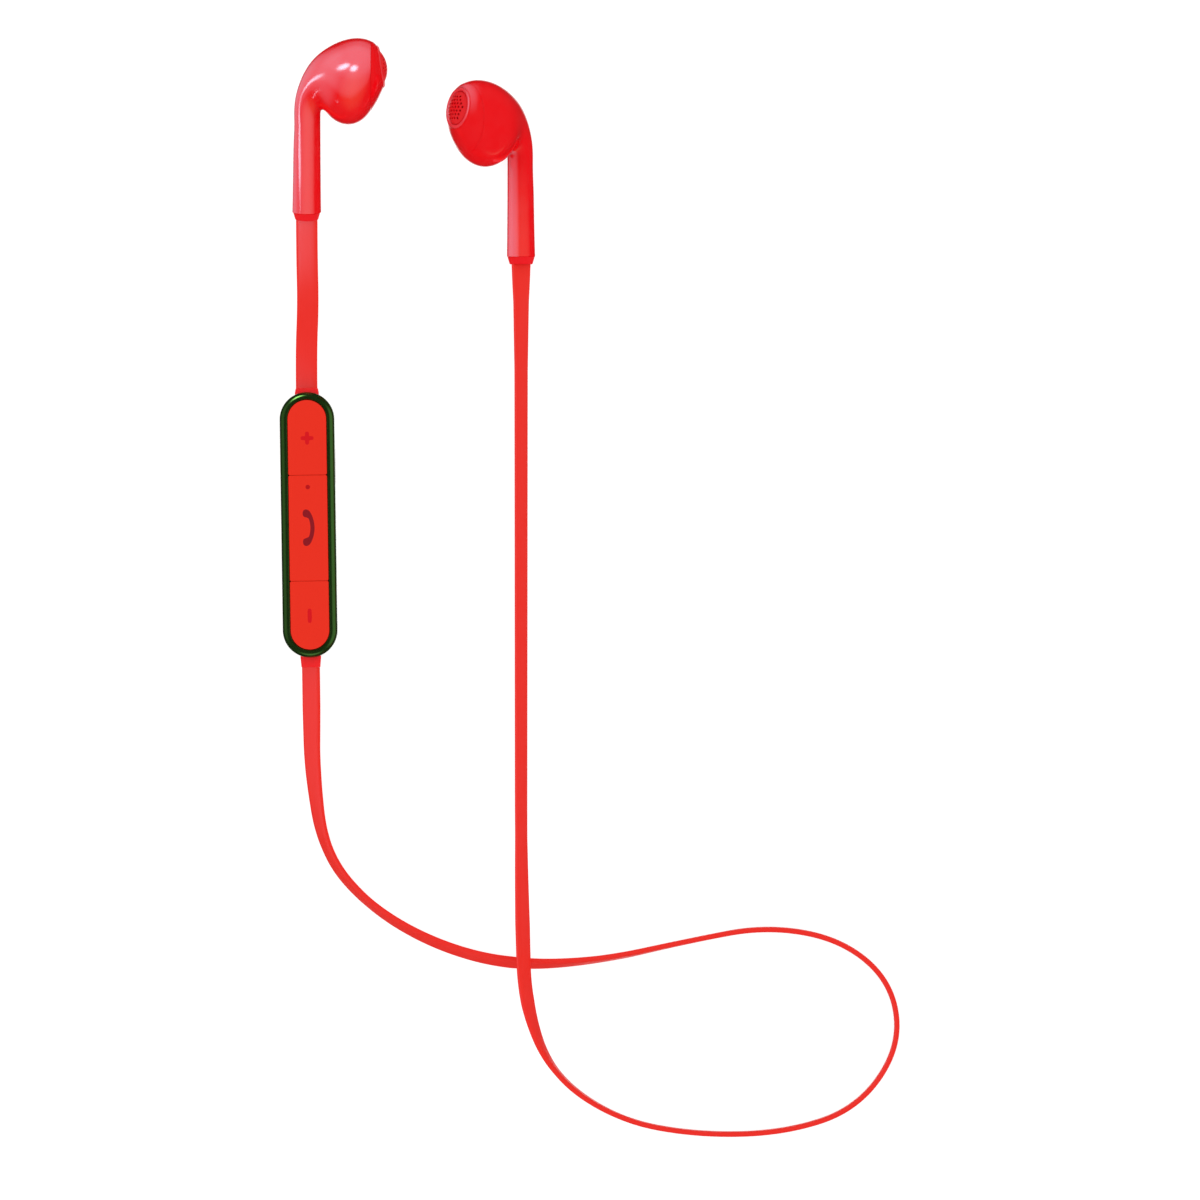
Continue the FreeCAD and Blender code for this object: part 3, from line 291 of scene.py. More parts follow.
# Tinned steel sheet, drawn into the shield and the microphone's can: softer and whiter
TIN = Finish(
    "tinned_steel", "#CFCFCB", "#BDBDB9", 0.34, 0.15e-3, 1e-6,
    pattern=Pattern.ROLLED, metallic=1.0,
)
# Soft iron with a zinc plating: grey and satin
IRON = Finish(
    "zinc_plated_iron", "#A9AAB0", "#93949A", 0.36, 0.20e-3, 1e-6,
    pattern=Pattern.ROLLED, metallic=1.0,
)
# Neodymium magnet, tumbled and plated in bright nickel: a warm mirror
MAGNET = Finish(
    "bright_nickel", "#D2CDC2", "#C6C1B6", 0.14, 0.30e-3, 1e-6,
    pattern=Pattern.POLISHED, metallic=1.0,
)
# Glass-epoxy board under a green mask, whose copper tracks show through as paler lines
BOARD = Finish("masked_glass_epoxy", "#2F8A4C", "#0E4A24", 0.32, 1.1e-3, 20e-6, pattern=Pattern.PRINTED)
# Aluminium-laminate pouch of the cell: satin silver
POUCH = Finish("pouch_laminate", "#C2C5CA", "#AEB1B6", 0.38, 0.60e-3, 10e-6, metallic=0.9)
# Fired ceramic of the antenna: chalky white
CERAMIC = Finish("fired_ceramic", "#E8E4DA", "#DCD8CE", 0.45, 0.10e-3, 2e-6)
# Clear epoxy, cast over the light: glassy and a little yellow
RESIN = Finish("clear_epoxy", "#F1E6C2", "#E9DDB4", 0.12, 0.30e-3, 1e-6, ior=1.54)
# Silicone, moulded into the microphone's boot: dull black
SILICONE = Finish("black_silicone", "#1B1B1C", "#121213", 0.62, 0.20e-3, 4e-6)
# Glass-filled nylon frame of the driver: dull and dark
NYLON = Finish("glass_filled_nylon", "#1F1F21", "#161618", 0.55, 0.25e-3, 5e-6)
# Closed-cell foam of the gasket: black, matte and pitted
FOAM = Finish("closed_cell_foam", "#2A2A2C", "#101011", 0.85, 0.18e-3, 30e-6, pattern=Pattern.CELLULAR)
# Enamelled copper wire, wound in close turns that are drawn 0.35 mm apart to show
COPPER = Finish(
    "enamelled_copper", "#C2703A", "#8A4420", 0.28, 0.35e-3, 15e-6,
    pattern=Pattern.WOUND, metallic=0.9,
)
# Polyester film of the diaphragm: thin, pale and glossy
FILM = Finish("polyester_film", "#D8D2C4", "#CEC8BA", 0.18, 0.80e-3, 2e-6)
# Elastomer film of the surround: dark and satin
ROLL = Finish("elastomer_film", "#3B3936", "#32302D", 0.48, 0.30e-3, 3e-6)
# PVC, extruded over the lead wires: satin, deep red
PVC = Finish("pvc_insulation", "#A81A1A", "#9C1616", 0.42, 0.30e-3, 2e-6)

NODE_FINISHES = {
    "battery": POUCH,
    "chip_antenna": CERAMIC,
    "circuit_board": BOARD,
    "dome_switches": NICKEL,
    "indicator_led": RESIN,
    "microphone": TIN,
    "microphone_boot": SILICONE,
    "radio_shield": TIN,
}
DRIVER_FINISHES = {
    "diaphragm": FILM,
    "driver_frame": NYLON,
    "front_gasket": FOAM,
    "lead_wires": PVC,
    "magnet": MAGNET,
    "surround": ROLL,
    "terminal_board": BOARD,
    "top_plate": IRON,
    "voice_coil": COPPER,
    "yoke": IRON,
}


def spline_through(knots: Array, rows: Array, places: Array) -> Array:
    """Values of the natural cubic spline through rows of numbers.

    Args:
        knots: The place of each row, rising.
        rows: One row of values for each knot.
        places: Where to read the spline.

    Returns:
        One row for each place.  Between two knots a distance h apart, with a and b the distances
        from the place to the next and the last knot, a value is
        (a y0 + b y1) / h + ((a^3 / h - h a) c0 + (b^3 / h - h b) c1) / 6, where the curvatures c
        make the slopes meet at the knots and are 0 at both ends.
    """
    steps = np.diff(knots)
    slopes = np.diff(rows, axis=0) / steps[:, None]
    count = len(knots)
    system = np.eye(count)
    inner = np.arange(1, count - 1)
    system[inner, inner - 1] = steps[:-1]
    system[inner, inner] = 2 * (steps[:-1] + steps[1:])
    system[inner, inner + 1] = steps[1:]
    right = np.zeros_like(rows)
    right[1:-1] = 6 * np.diff(slopes, axis=0)
    curve = np.linalg.solve(system, right)
    last = np.clip(np.searchsorted(knots, places, side="right") - 1, 0, count - 2)
    gap = steps[last][:, None]
    after = knots[last + 1][:, None] - places[:, None]
    before = places[:, None] - knots[last][:, None]
    flat = (after * rows[last] + before * rows[last + 1]) / gap
    bend = (after**3 / gap - gap * after) * curve[last] + (before**3 / gap - gap * before) * curve[last + 1]
    return flat + bend / 6


def quarter_round(radius: float, count: int = 7) -> tuple[Array, Array]:
    """A rounded edge between a face and a wall.

    Args:
        radius: The edge's radius.
        count: How many points it has.

    Returns:
        How far each point lies in from the wall and out from the face, from the face to the wall:
        radius (1 - sin t) and radius (1 - cos t) for t from 0 to a quarter turn.
    """
    turn = np.linspace(0, QUARTER_TURN, count)
    return radius * (1 - np.sin(turn)), radius * (1 - np.cos(turn))


def stadium(width: float, thickness: float, arc: int = 13, side: int = 4) -> Array:
    """A flat section with round edges.

    Args:
        width: Its whole width, along the first axis.
        thickness: Its whole thickness, along the second.
        arc: How many points each round edge has.
        side: How many points each flat side has between them.

    Returns:
        Points round the section, anticlockwise: half circles of radius thickness / 2 about
        (+-(width - thickness) / 2, 0), joined by straight sides.
    """
    radius = thickness / 2
    reach = width / 2 - radius
    turn = np.linspace(-QUARTER_TURN, QUARTER_TURN, arc)
    edge = np.column_stack([reach + radius * np.cos(turn), radius * np.sin(turn)])
    across = np.linspace(reach, -reach, side + 2)[1:-1]
    top = np.column_stack([across, np.full(side, radius)])
    half = np.vstack([edge, top])
    return np.vstack([half, -half])


def flat_oval(width: float, thickness: float, power: float = 3.4, count: int = 44) -> Array:
    """A flat section with crowned faces and round edges.

    Args:
        width: Its whole width, along the first axis.
        thickness: Its whole thickness, along the second.
        power: How full it is: 2 is an ellipse, and more is nearer to a rectangle.
        count: How many points it has.

    Returns:
        Points of a superellipse, anticlockwise: at turn t the place across is the sign of cos t
        times |cos t| to the power 2 / p, as a share of half the width, and the height likewise.
    """
    turn = np.linspace(0, FULL_TURN, count, endpoint=False) + math.pi / count
    way = np.column_stack([np.cos(turn), np.sin(turn)])
    return np.sign(way) * np.abs(way) ** (2 / power) * np.array([width, thickness]) / 2


def leaned(outline: Array, angle: float) -> Array:
    """Turn an outline of two columns anticlockwise: (x cos a - y sin a, x sin a + y cos a)."""
    cosine, sine = math.cos(angle), math.sin(angle)
    return outline @ np.array([[cosine, sine], [-sine, cosine]])


def turned(points: Array, axis: int, angle: float) -> Array:
    """Turn points about one of the frame's axes.

    Args:
        points: Points in the last dimension.
        axis: 0, 1 or 2 for X, Y or Z.
        angle: The turn in radians, by the right-hand rule.

    Returns:
        The turned points.
    """
    first, second = (axis + 1) % 3, (axis + 2) % 3
    result = points.copy()
    result[..., first] = points[..., first] * math.cos(angle) - points[..., second] * math.sin(angle)
    result[..., second] = points[..., first] * math.sin(angle) + points[..., second] * math.cos(angle)
    return result


def make_piece(name: str, rings: Array, endless: bool = False) -> bpy.types.Object:
    """Join a stack of closed rings into one smooth closed skin.

    Args:
        name: The piece's name.
        rings: Points as (ring, place round it, 3).  A ring whose points meet is a pole.
        endless: Whether the last ring joins the first one.

    Returns:
        The piece.  Face (i, j) joins rings i and i + 1 between places j and j + 1.  Its UV map
        holds the distance round the widest ring and the distance along the rings, in metres.
    """
    count, around = rings.shape[:2]
    first = np.arange(count if endless else count - 1)[:, None]
    place = np.arange(around)[None, :]
    after = (place + 1) % around
    low, high = first * around, (first + 1) % count * around
    faces = np.stack([low + place, low + after, high + after, high + place], axis=-1).reshape(-1, 4)
    mesh = bpy.data.meshes.new(name)
    mesh.from_pydata(rings.reshape(-1, 3).tolist(), [], faces.tolist())
    widest = rings[np.argmax(np.ptp(rings, axis=1).sum(axis=1))]
    round_it = np.linalg.norm(np.roll(widest, -1, axis=0) - widest, axis=1)
    across = np.concatenate([[0.0], np.cumsum(round_it)])
    middles = rings.mean(axis=1)
    steps = np.linalg.norm(np.diff(middles, axis=0, append=middles[:1]), axis=1)
    along = np.concatenate([[0.0], np.cumsum(steps)])
    rows, columns = np.broadcast_arrays(first, place)
    near, far = across[columns], across[columns + 1]
    start, end = along[rows], along[rows + 1]
    corners = np.stack([near, start, far, start, far, end, near, end], axis=-1)
    mesh.uv_layers.new(name="UVMap").data.foreach_set("uv", corners.ravel())
    return finish_mesh(bpy.data.objects.new(name, mesh))


def finish_mesh(piece: bpy.types.Object) -> bpy.types.Object:
    """Close a piece's seams and poles, point its faces outwards, shade it and link it.

    Args:
        piece: The piece.

    Returns:
        The same piece, now in the scene.
    """
    work = bmesh.new()
    work.from_mesh(piece.data)
    bmesh.ops.remove_doubles(work, verts=work.verts, dist=MERGE)
    bmesh.ops.recalc_face_normals(work, faces=work.faces)
    work.to_mesh(piece.data)
    work.free()
    shade(piece)
    bpy.context.scene.collection.objects.link(piece)
    return piece


def shade(piece: bpy.types.Object) -> None:
    """Shade a piece smooth up to its edges."""
    piece.data.shade_smooth()
    piece.data.set_sharp_from_angle(angle=SHARP_ANGLE)


def carve(piece: bpy.types.Object, cutters: list[bpy.types.Object]) -> bpy.types.Object:
    """Cut the shape of each cutter out of a piece, and take the cutters away.

    Args:
        piece: The piece to cut.
        cutters: Closed pieces that stand where the openings go.

    Returns:
        The same piece, carved.
    """
    for cutter in cutters:
        change = piece.modifiers.new("carve", "BOOLEAN")
        change.operation = "DIFFERENCE"
        change.solver = "EXACT"
        change.object = cutter
    graph = bpy.context.evaluated_depsgraph_get()
    carved = bpy.data.meshes.new_from_object(piece.evaluated_get(graph))
    piece.modifiers.clear()
    piece.data = carved
    for cutter in cutters:
        bpy.data.objects.remove(cutter)
    shade(piece)
    return piece


def output_of(node: bpy.types.Node, identifier: str) -> bpy.types.NodeSocket:
    """The output socket of a node that has this identifier."""
    return next(socket for socket in node.outputs if socket.identifier == identifier)


def body_of(node: str) -> str:
    """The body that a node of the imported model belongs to."""
    return next(body for body, nodes in frame["record"]["behaviour"]["bodies"].items() if node in nodes)


def fit(piece: bpy.types.Object, finish: Finish, node: str) -> None:
    """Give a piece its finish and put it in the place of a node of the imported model.

    Args:
        piece: The piece, already where it belongs.
        finish: Its finish.
        node: The node that it stands for.
    """
    piece.data.materials.clear()
    piece.data.materials.append(finish.material())
    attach(piece, body_of(node))
    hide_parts(node)
    LOG.info("%s stands for %s in %s", piece.name, node, finish.name)


def dress_node(node: str, finish: Finish) -> None:
    """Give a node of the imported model, which keeps its mesh, a finish of the real material.

    Args:
        node: The node.
        finish: Its finish.
    """
    for place in frame["nodes"][node].material_slots:
        place.material = finish.material()
    LOG.info("%s in %s", node, finish.name)


def smooth_copy(node: str) -> bpy.types.Object:
    """A copy of a node's mesh whose triangles are joined and shaded smooth up to its edges."""
    copy = bpy.data.objects.new(f"{node}_surface", frame["nodes"][node].data.copy())
    return finish_mesh(copy)


@dataclass(frozen=True)
class Earbud:
    """One earbud: two shells, the rim and mesh of its port, the stem's plug and the driver inside.

    Its own frame runs across from the stem's axis to the ear, up along the stem, and sideways.
    """

    side: str
    place: tuple[float, float, float]
    tilt: float
    roll: float
    around: int = 112
    skin_rows: int = 170
    cavity_rows: int = 60
    bore_rows: int = 8
    cap_rows: int = 44
    crown_points: int = 17
    wall: float = 1.0e-3
    seam_depth: float = 0.03e-3
    seam_reach: float = 0.04e-3
    seam_gap: float = 0.01e-3
    edge: float = 0.14e-3
    skin_start: float = 0.21e-3
    bore_radius: float = 1.5e-3
    stem_foot: float = 1.5e-3
    port_across: float = 15.1e-3
    port_up: float = 31.7e-3
    port_tilt: float = math.radians(9)
    ring_outer: float = 4.28e-3
    ring_inner: float = 3.47e-3
    ring_crown: float = 0.42e-3
    ring_depth: float = 0.8e-3
    ring_gap: float = 0.02e-3
    mouth_lip: float = 0.1e-3
    seat_radius: float = 3.75e-3
    seat_depth: float = 1.2e-3
    rim_radius: float = 4.46e-3
    rim_rise: float = 0.08e-3
    cap_wall: float = 1.5e-3
    cap_inside: float = 14.0e-3
    plug_top: float = 2.76e-3
    plug_foot: float = 2.42e-3
    plug_edge: float = 0.06e-3
    plug_round: float = 0.3e-3
    spigot_radius: float = 1.46e-3
    spigot_top: float = 5.0e-3

    # Back edge (across, up), front edge (across, up) and half width of each section of the skin
    SECTIONS = np.array(
        (
            (-2.98e-3, 1.50e-3, 2.98e-3, 1.50e-3, 2.80e-3),
            (-2.86e-3, 6.00e-3, 2.95e-3, 6.00e-3, 2.70e-3),
            (-2.76e-3, 11.0e-3, 2.93e-3, 11.0e-3, 2.62e-3),
            (-2.64e-3, 16.0e-3, 2.92e-3, 16.0e-3, 2.55e-3),
            (-2.50e-3, 20.5e-3, 2.92e-3, 20.5e-3, 2.50e-3),
            (-2.28e-3, 25.0e-3, 3.00e-3, 22.30e-3, 2.65e-3),
            (-1.00e-3, 29.3e-3, 3.30e-3, 22.70e-3, 3.40e-3),
            (1.07e-3, 32.8e-3, 3.87e-3, 22.40e-3, 4.55e-3),
            (4.00e-3, 35.4e-3, 4.80e-3, 21.4e-3, 6.10e-3),
            (7.30e-3, 37.05e-3, 6.60e-3, 20.15e-3, 7.60e-3),
            (10.0e-3, 37.60e-3, 9.20e-3, 19.75e-3, 8.15e-3),
            (12.0e-3, 37.45e-3, 11.6e-3, 20.75e-3, 7.60e-3),
            (13.3e-3, 37.00e-3, 13.3e-3, 22.60e-3, 6.75e-3),
            (14.0e-3, 36.60e-3, 14.8e-3, 24.95e-3, 5.75e-3),
        )
    )
    # The columns of a section that hold a place across, and the numbers of two of the sections
    ACROSS = np.array((1, 0, 1, 0, 0))
    NECK = 4
    SEAM = 12

    def knots(self, rows: Array) -> Array:
        """The distance of each section along the skin, midway between its back and front edges."""
        steps = np.linalg.norm(np.diff(rows[:, :4], axis=0).reshape(-1, 2, 2), axis=2).mean(axis=1)
        return np.concatenate([[0.0], np.cumsum(steps)])

    def rings(self, rows: Array, inset: Array | float = 0.0) -> Array:
        """Ellipses through sections, set in by a distance, in the object's frame.

        Args:
            rows: Sections, as the table gives them.
            inset: How far each ellipse is set in.

        Returns:
            Rings of points: middle + cos t half + sin t half_width sideways, turned by the
            earbud's roll and tilt and moved to its place.
        """
        inset = np.broadcast_to(inset, len(rows))[:, None]
        back, front = rows[:, 0:2], rows[:, 2:4]
        half = (front - back) / 2
        half = half * (1 - inset / np.linalg.norm(half, axis=1, keepdims=True))
        turn = np.linspace(0, FULL_TURN, self.around, endpoint=False)
        flat = ((back + front) / 2)[:, None] + half[:, None] * np.cos(turn)[None, :, None]
        sideways = (rows[:, 4:] - inset) * np.sin(turn)
        return self.placed(np.concatenate([flat, sideways[:, :, None]], axis=2))

    def placed(self, points: Array) -> Array:
        """Points of the earbud's own frame in the object's frame."""
        return turned(turned(points, 1, self.roll), 0, self.tilt) + np.array(self.place)

    def stem_rows(self, radius: Array | float, up: Array) -> Array:
        """Round sections about the stem's axis, at heights along it."""
        radius, up = np.broadcast_arrays(radius, up)
        return np.column_stack([-radius, up, radius, up, radius])

    def port_rows(self, radius: Array | float, depth: Array | float) -> Array:
        """Round sections about the port's axis, square to it.

        Args:
            radius: The radius of each section.
            depth: How far each section lies below the rim.

        Returns:
            Sections whose middle is the port's, moved inwards by the depth, and whose edges lie a
            radius to both sides along the line (-sin a, cos a), with a the port's tilt.
        """
        radius, depth = np.broadcast_arrays(radius, depth)
        lean_across, lean_up = -math.sin(self.port_tilt), math.cos(self.port_tilt)
        across = self.port_across - depth * lean_up
        up = self.port_up + depth * lean_across
        edge_across, edge_up = radius * lean_across, radius * lean_up
        edges = (across + edge_across, up + edge_up, across - edge_across, up - edge_up)
        return np.column_stack([*edges, radius])

    def seam_row(self, way: int) -> Array:
        """The section where the shells meet, moved a little to one side of the seam."""
        return self.SECTIONS[self.SEAM : self.SEAM + 1] + self.ACROSS * way * self.seam_gap

    def rear_shell(self) -> bpy.types.Object:
        """The stem and the back of the head.

        Returns:
            A hollow skin: rounded foot, outside up to a lip at the seam, inside down to the neck,
            and the stem's bore.  The outside is the spline through the sections, and the inside
            the same spline set in by the wall.
        """
        knots = self.knots(self.SECTIONS)
        inset, rise = quarter_round(self.edge)
        foot = np.repeat(self.SECTIONS[:1], len(inset), axis=0)
        foot[:, [1, 3]] += rise[:, None]
        outside = np.linspace(self.skin_start, knots[self.SEAM] - self.seam_reach, self.skin_rows)
        inside = np.linspace(knots[self.SEAM], knots[self.NECK], self.cavity_rows)
        bore = np.linspace(self.SECTIONS[self.NECK, 1], self.stem_foot, self.bore_rows)
        parts = (
            self.rings(foot, inset),
            self.rings(spline_through(knots, self.SECTIONS, outside)),
            self.rings(self.seam_row(-1), self.seam_depth),
            self.rings(self.seam_row(-1), self.wall),
            self.rings(spline_through(knots, self.SECTIONS, inside[1:]), self.wall),
            self.rings(self.stem_rows(self.bore_radius, bore)),
        )
        return make_piece(f"{self.side}_rear_shell_skin", np.concatenate(parts), endless=True)

    def front_shell(self) -> bpy.types.Object:
        """The cap from the seam to the rim of the port.

        Returns:
            A hollow skin: lip at the seam, outside along the spline to the port's rim, rounded
            mouth, the seat of the port's ring, and the inner wall.
        """
        rim = self.port_rows(self.rim_radius, np.array([-self.rim_rise]))
        rows = np.concatenate([self.SECTIONS[self.SEAM - 1 :], rim])
        knots = self.knots(rows)
        outside = np.linspace(knots[1] + self.seam_reach, knots[-1], self.cap_rows)
        inset, rise = quarter_round(self.rim_radius - self.ring_outer)
        lip = self.port_rows(self.rim_radius - inset[::-1], rise[::-1] - inset[0] - self.rim_rise)
        mouth = np.array([self.mouth_lip, self.ring_depth])
        ledge = np.array([self.ring_depth, self.seat_depth])
        inner_wall = self.SECTIONS[self.SEAM : self.SEAM + 1] * (1 - self.ACROSS)
        parts = (
            self.rings(self.seam_row(1), self.seam_depth),
            self.rings(spline_through(knots, rows, outside)),
            self.rings(lip),
            self.rings(self.port_rows(self.ring_outer + self.ring_gap, mouth)),
            self.rings(self.port_rows(self.seat_radius, ledge)),
            self.rings(inner_wall + self.ACROSS * self.cap_inside, self.cap_wall),
            self.rings(self.seam_row(1), self.wall),
        )
        return make_piece(f"{self.side}_front_shell_skin", np.concatenate(parts), endless=True)

    def port_ring(self) -> bpy.types.Object:
        """The ring round the port.

        Returns:
            Straight walls under a crown that is half an ellipse: middle + half cos t across and
            crown sin t outwards.
        """
        middle = (self.ring_outer + self.ring_inner) / 2
        half = (self.ring_outer - self.ring_inner) / 2
        turn = np.linspace(0, math.pi, self.crown_points)
        crown = self.port_rows(middle + half * np.cos(turn), -self.ring_crown * np.sin(turn))
        foot = self.port_rows(np.array([self.ring_inner, self.ring_outer]), self.ring_depth)
        rings = self.rings(np.concatenate([crown, foot]))
        return make_piece(f"{self.side}_port_ring_skin", rings, endless=True)

    def stem_plug(self) -> bpy.types.Object:
        """The plug in the stem's foot.

        Returns:
            A turned profile: a spigot inside the stem, and a cone under it whose lower edge is a
            quarter circle.
        """
        inset, rise = quarter_round(self.plug_round, count=9)
        foot = self.stem_foot
        spigot = [POLE_RADIUS, self.spigot_radius, self.spigot_radius]
        cone = [self.plug_top - self.plug_edge, self.plug_top, *(self.plug_foot - inset)[::-1]]
        up = [self.spigot_top, self.spigot_top, foot, foot, foot - self.plug_edge, *rise[::-1], 0.0]
        rows = self.stem_rows(np.array([*spigot, *cone, POLE_RADIUS]), np.array(up))
        return make_piece(f"{self.side}_stem_plug_skin", self.rings(rows))

    def build(self) -> None:
        """Make every piece of the earbud and dress it."""
        for name, piece, finish in (
            ("rear_shell", self.rear_shell(), SHELL),
            ("front_shell", self.front_shell(), SHELL),
            ("port_ring", self.port_ring(), RING),
            ("stem_plug", self.stem_plug(), PLUG),
            ("port_mesh", smooth_copy(f"{self.side}_port_mesh"), MESH),
        ):
            fit(piece, finish, f"{self.side}_{name}")
        for name, finish in DRIVER_FINISHES.items():
            dress_node(f"{self.side}_{name}", finish)


@dataclass(frozen=True)
class FlatCord:
    """A flat cord along a smooth line, leaning on its edge where the real one does.

    Each point of the route holds x, y, z and the lean in degrees: 0 and 180 lie the cord flat and
    90 stands it on edge.
    """

    node: str
    route: tuple[tuple[float, float, float, float], ...]
    length: float
    width: float = 4.4e-3
    thickness: float = 1.15e-3
    steps: int = 20

    def line(self) -> Array:
        """Points along the smooth line that the route pulls.

        Returns:
            Points of the quadratic NURBS line whose control points are the route's.
        """
        curve = bpy.data.curves.new(f"{self.node}_line", "CURVE")
        curve.dimensions = "3D"
        curve.resolution_u = self.steps
        spline = curve.splines.new("NURBS")
        spline.points.add(len(self.route) - 1)
        spline.points.foreach_set("co", np.insert(np.array(self.route)[:, :3], 3, 1.0, axis=1).ravel())
        spline.order_u = 3
        spline.use_endpoint_u = True
        holder = bpy.data.objects.new(curve.name, curve)
        mesh = bpy.data.meshes.new_from_object(holder)
        points = np.zeros(len(mesh.vertices) * 3)
        mesh.vertices.foreach_get("co", points)
        bpy.data.objects.remove(holder)
        bpy.data.curves.remove(curve)
        bpy.data.meshes.remove(mesh)
        return points.reshape(-1, 3)

    def leans(self, count: int) -> Array:
        """The lean along the line, in radians.

        Args:
            count: How many places the line has.

        Returns:
            The lean at each place, changed evenly between the places where each point of the
            route pulls the line most: half a step short of its number.
        """
        points = len(self.route)
        strongest = np.clip(np.arange(points) - 0.5, 0, points - 2)
        places = np.linspace(0, points - 2, count)
        return np.radians(np.interp(places, strongest, np.array(self.route)[:, 3]))

    def build(self) -> None:
        """With a the lean, the section's width lies along right cos a + up sin a and its thickness
        along up cos a - right sin a, where right is level and square to the line.
        """
        line = self.line()
        ahead = np.gradient(line, axis=0)
        ahead /= np.linalg.norm(ahead, axis=1, keepdims=True)
        right = np.cross(ahead, (0.0, 0.0, 1.0))
        right /= np.linalg.norm(right, axis=1, keepdims=True)
        up = np.cross(right, ahead)
        lean = self.leans(len(line))[:, None]
        wide = right * np.cos(lean) + up * np.sin(lean)
        thick = up * np.cos(lean) - right * np.sin(lean)
        section = flat_oval(self.width, self.thickness)
        rings = line[:, None] + wide[:, None] * section[None, :, :1] + thick[:, None] * section[None, :, 1:]
        ends = np.repeat(line[[0, -1], None], len(section), axis=1)
        rings = np.concatenate([ends[:1], rings, ends[1:]])
        piece = make_piece(f"{self.node}_ribbon", rings)
        fit(piece, CORD, self.node)


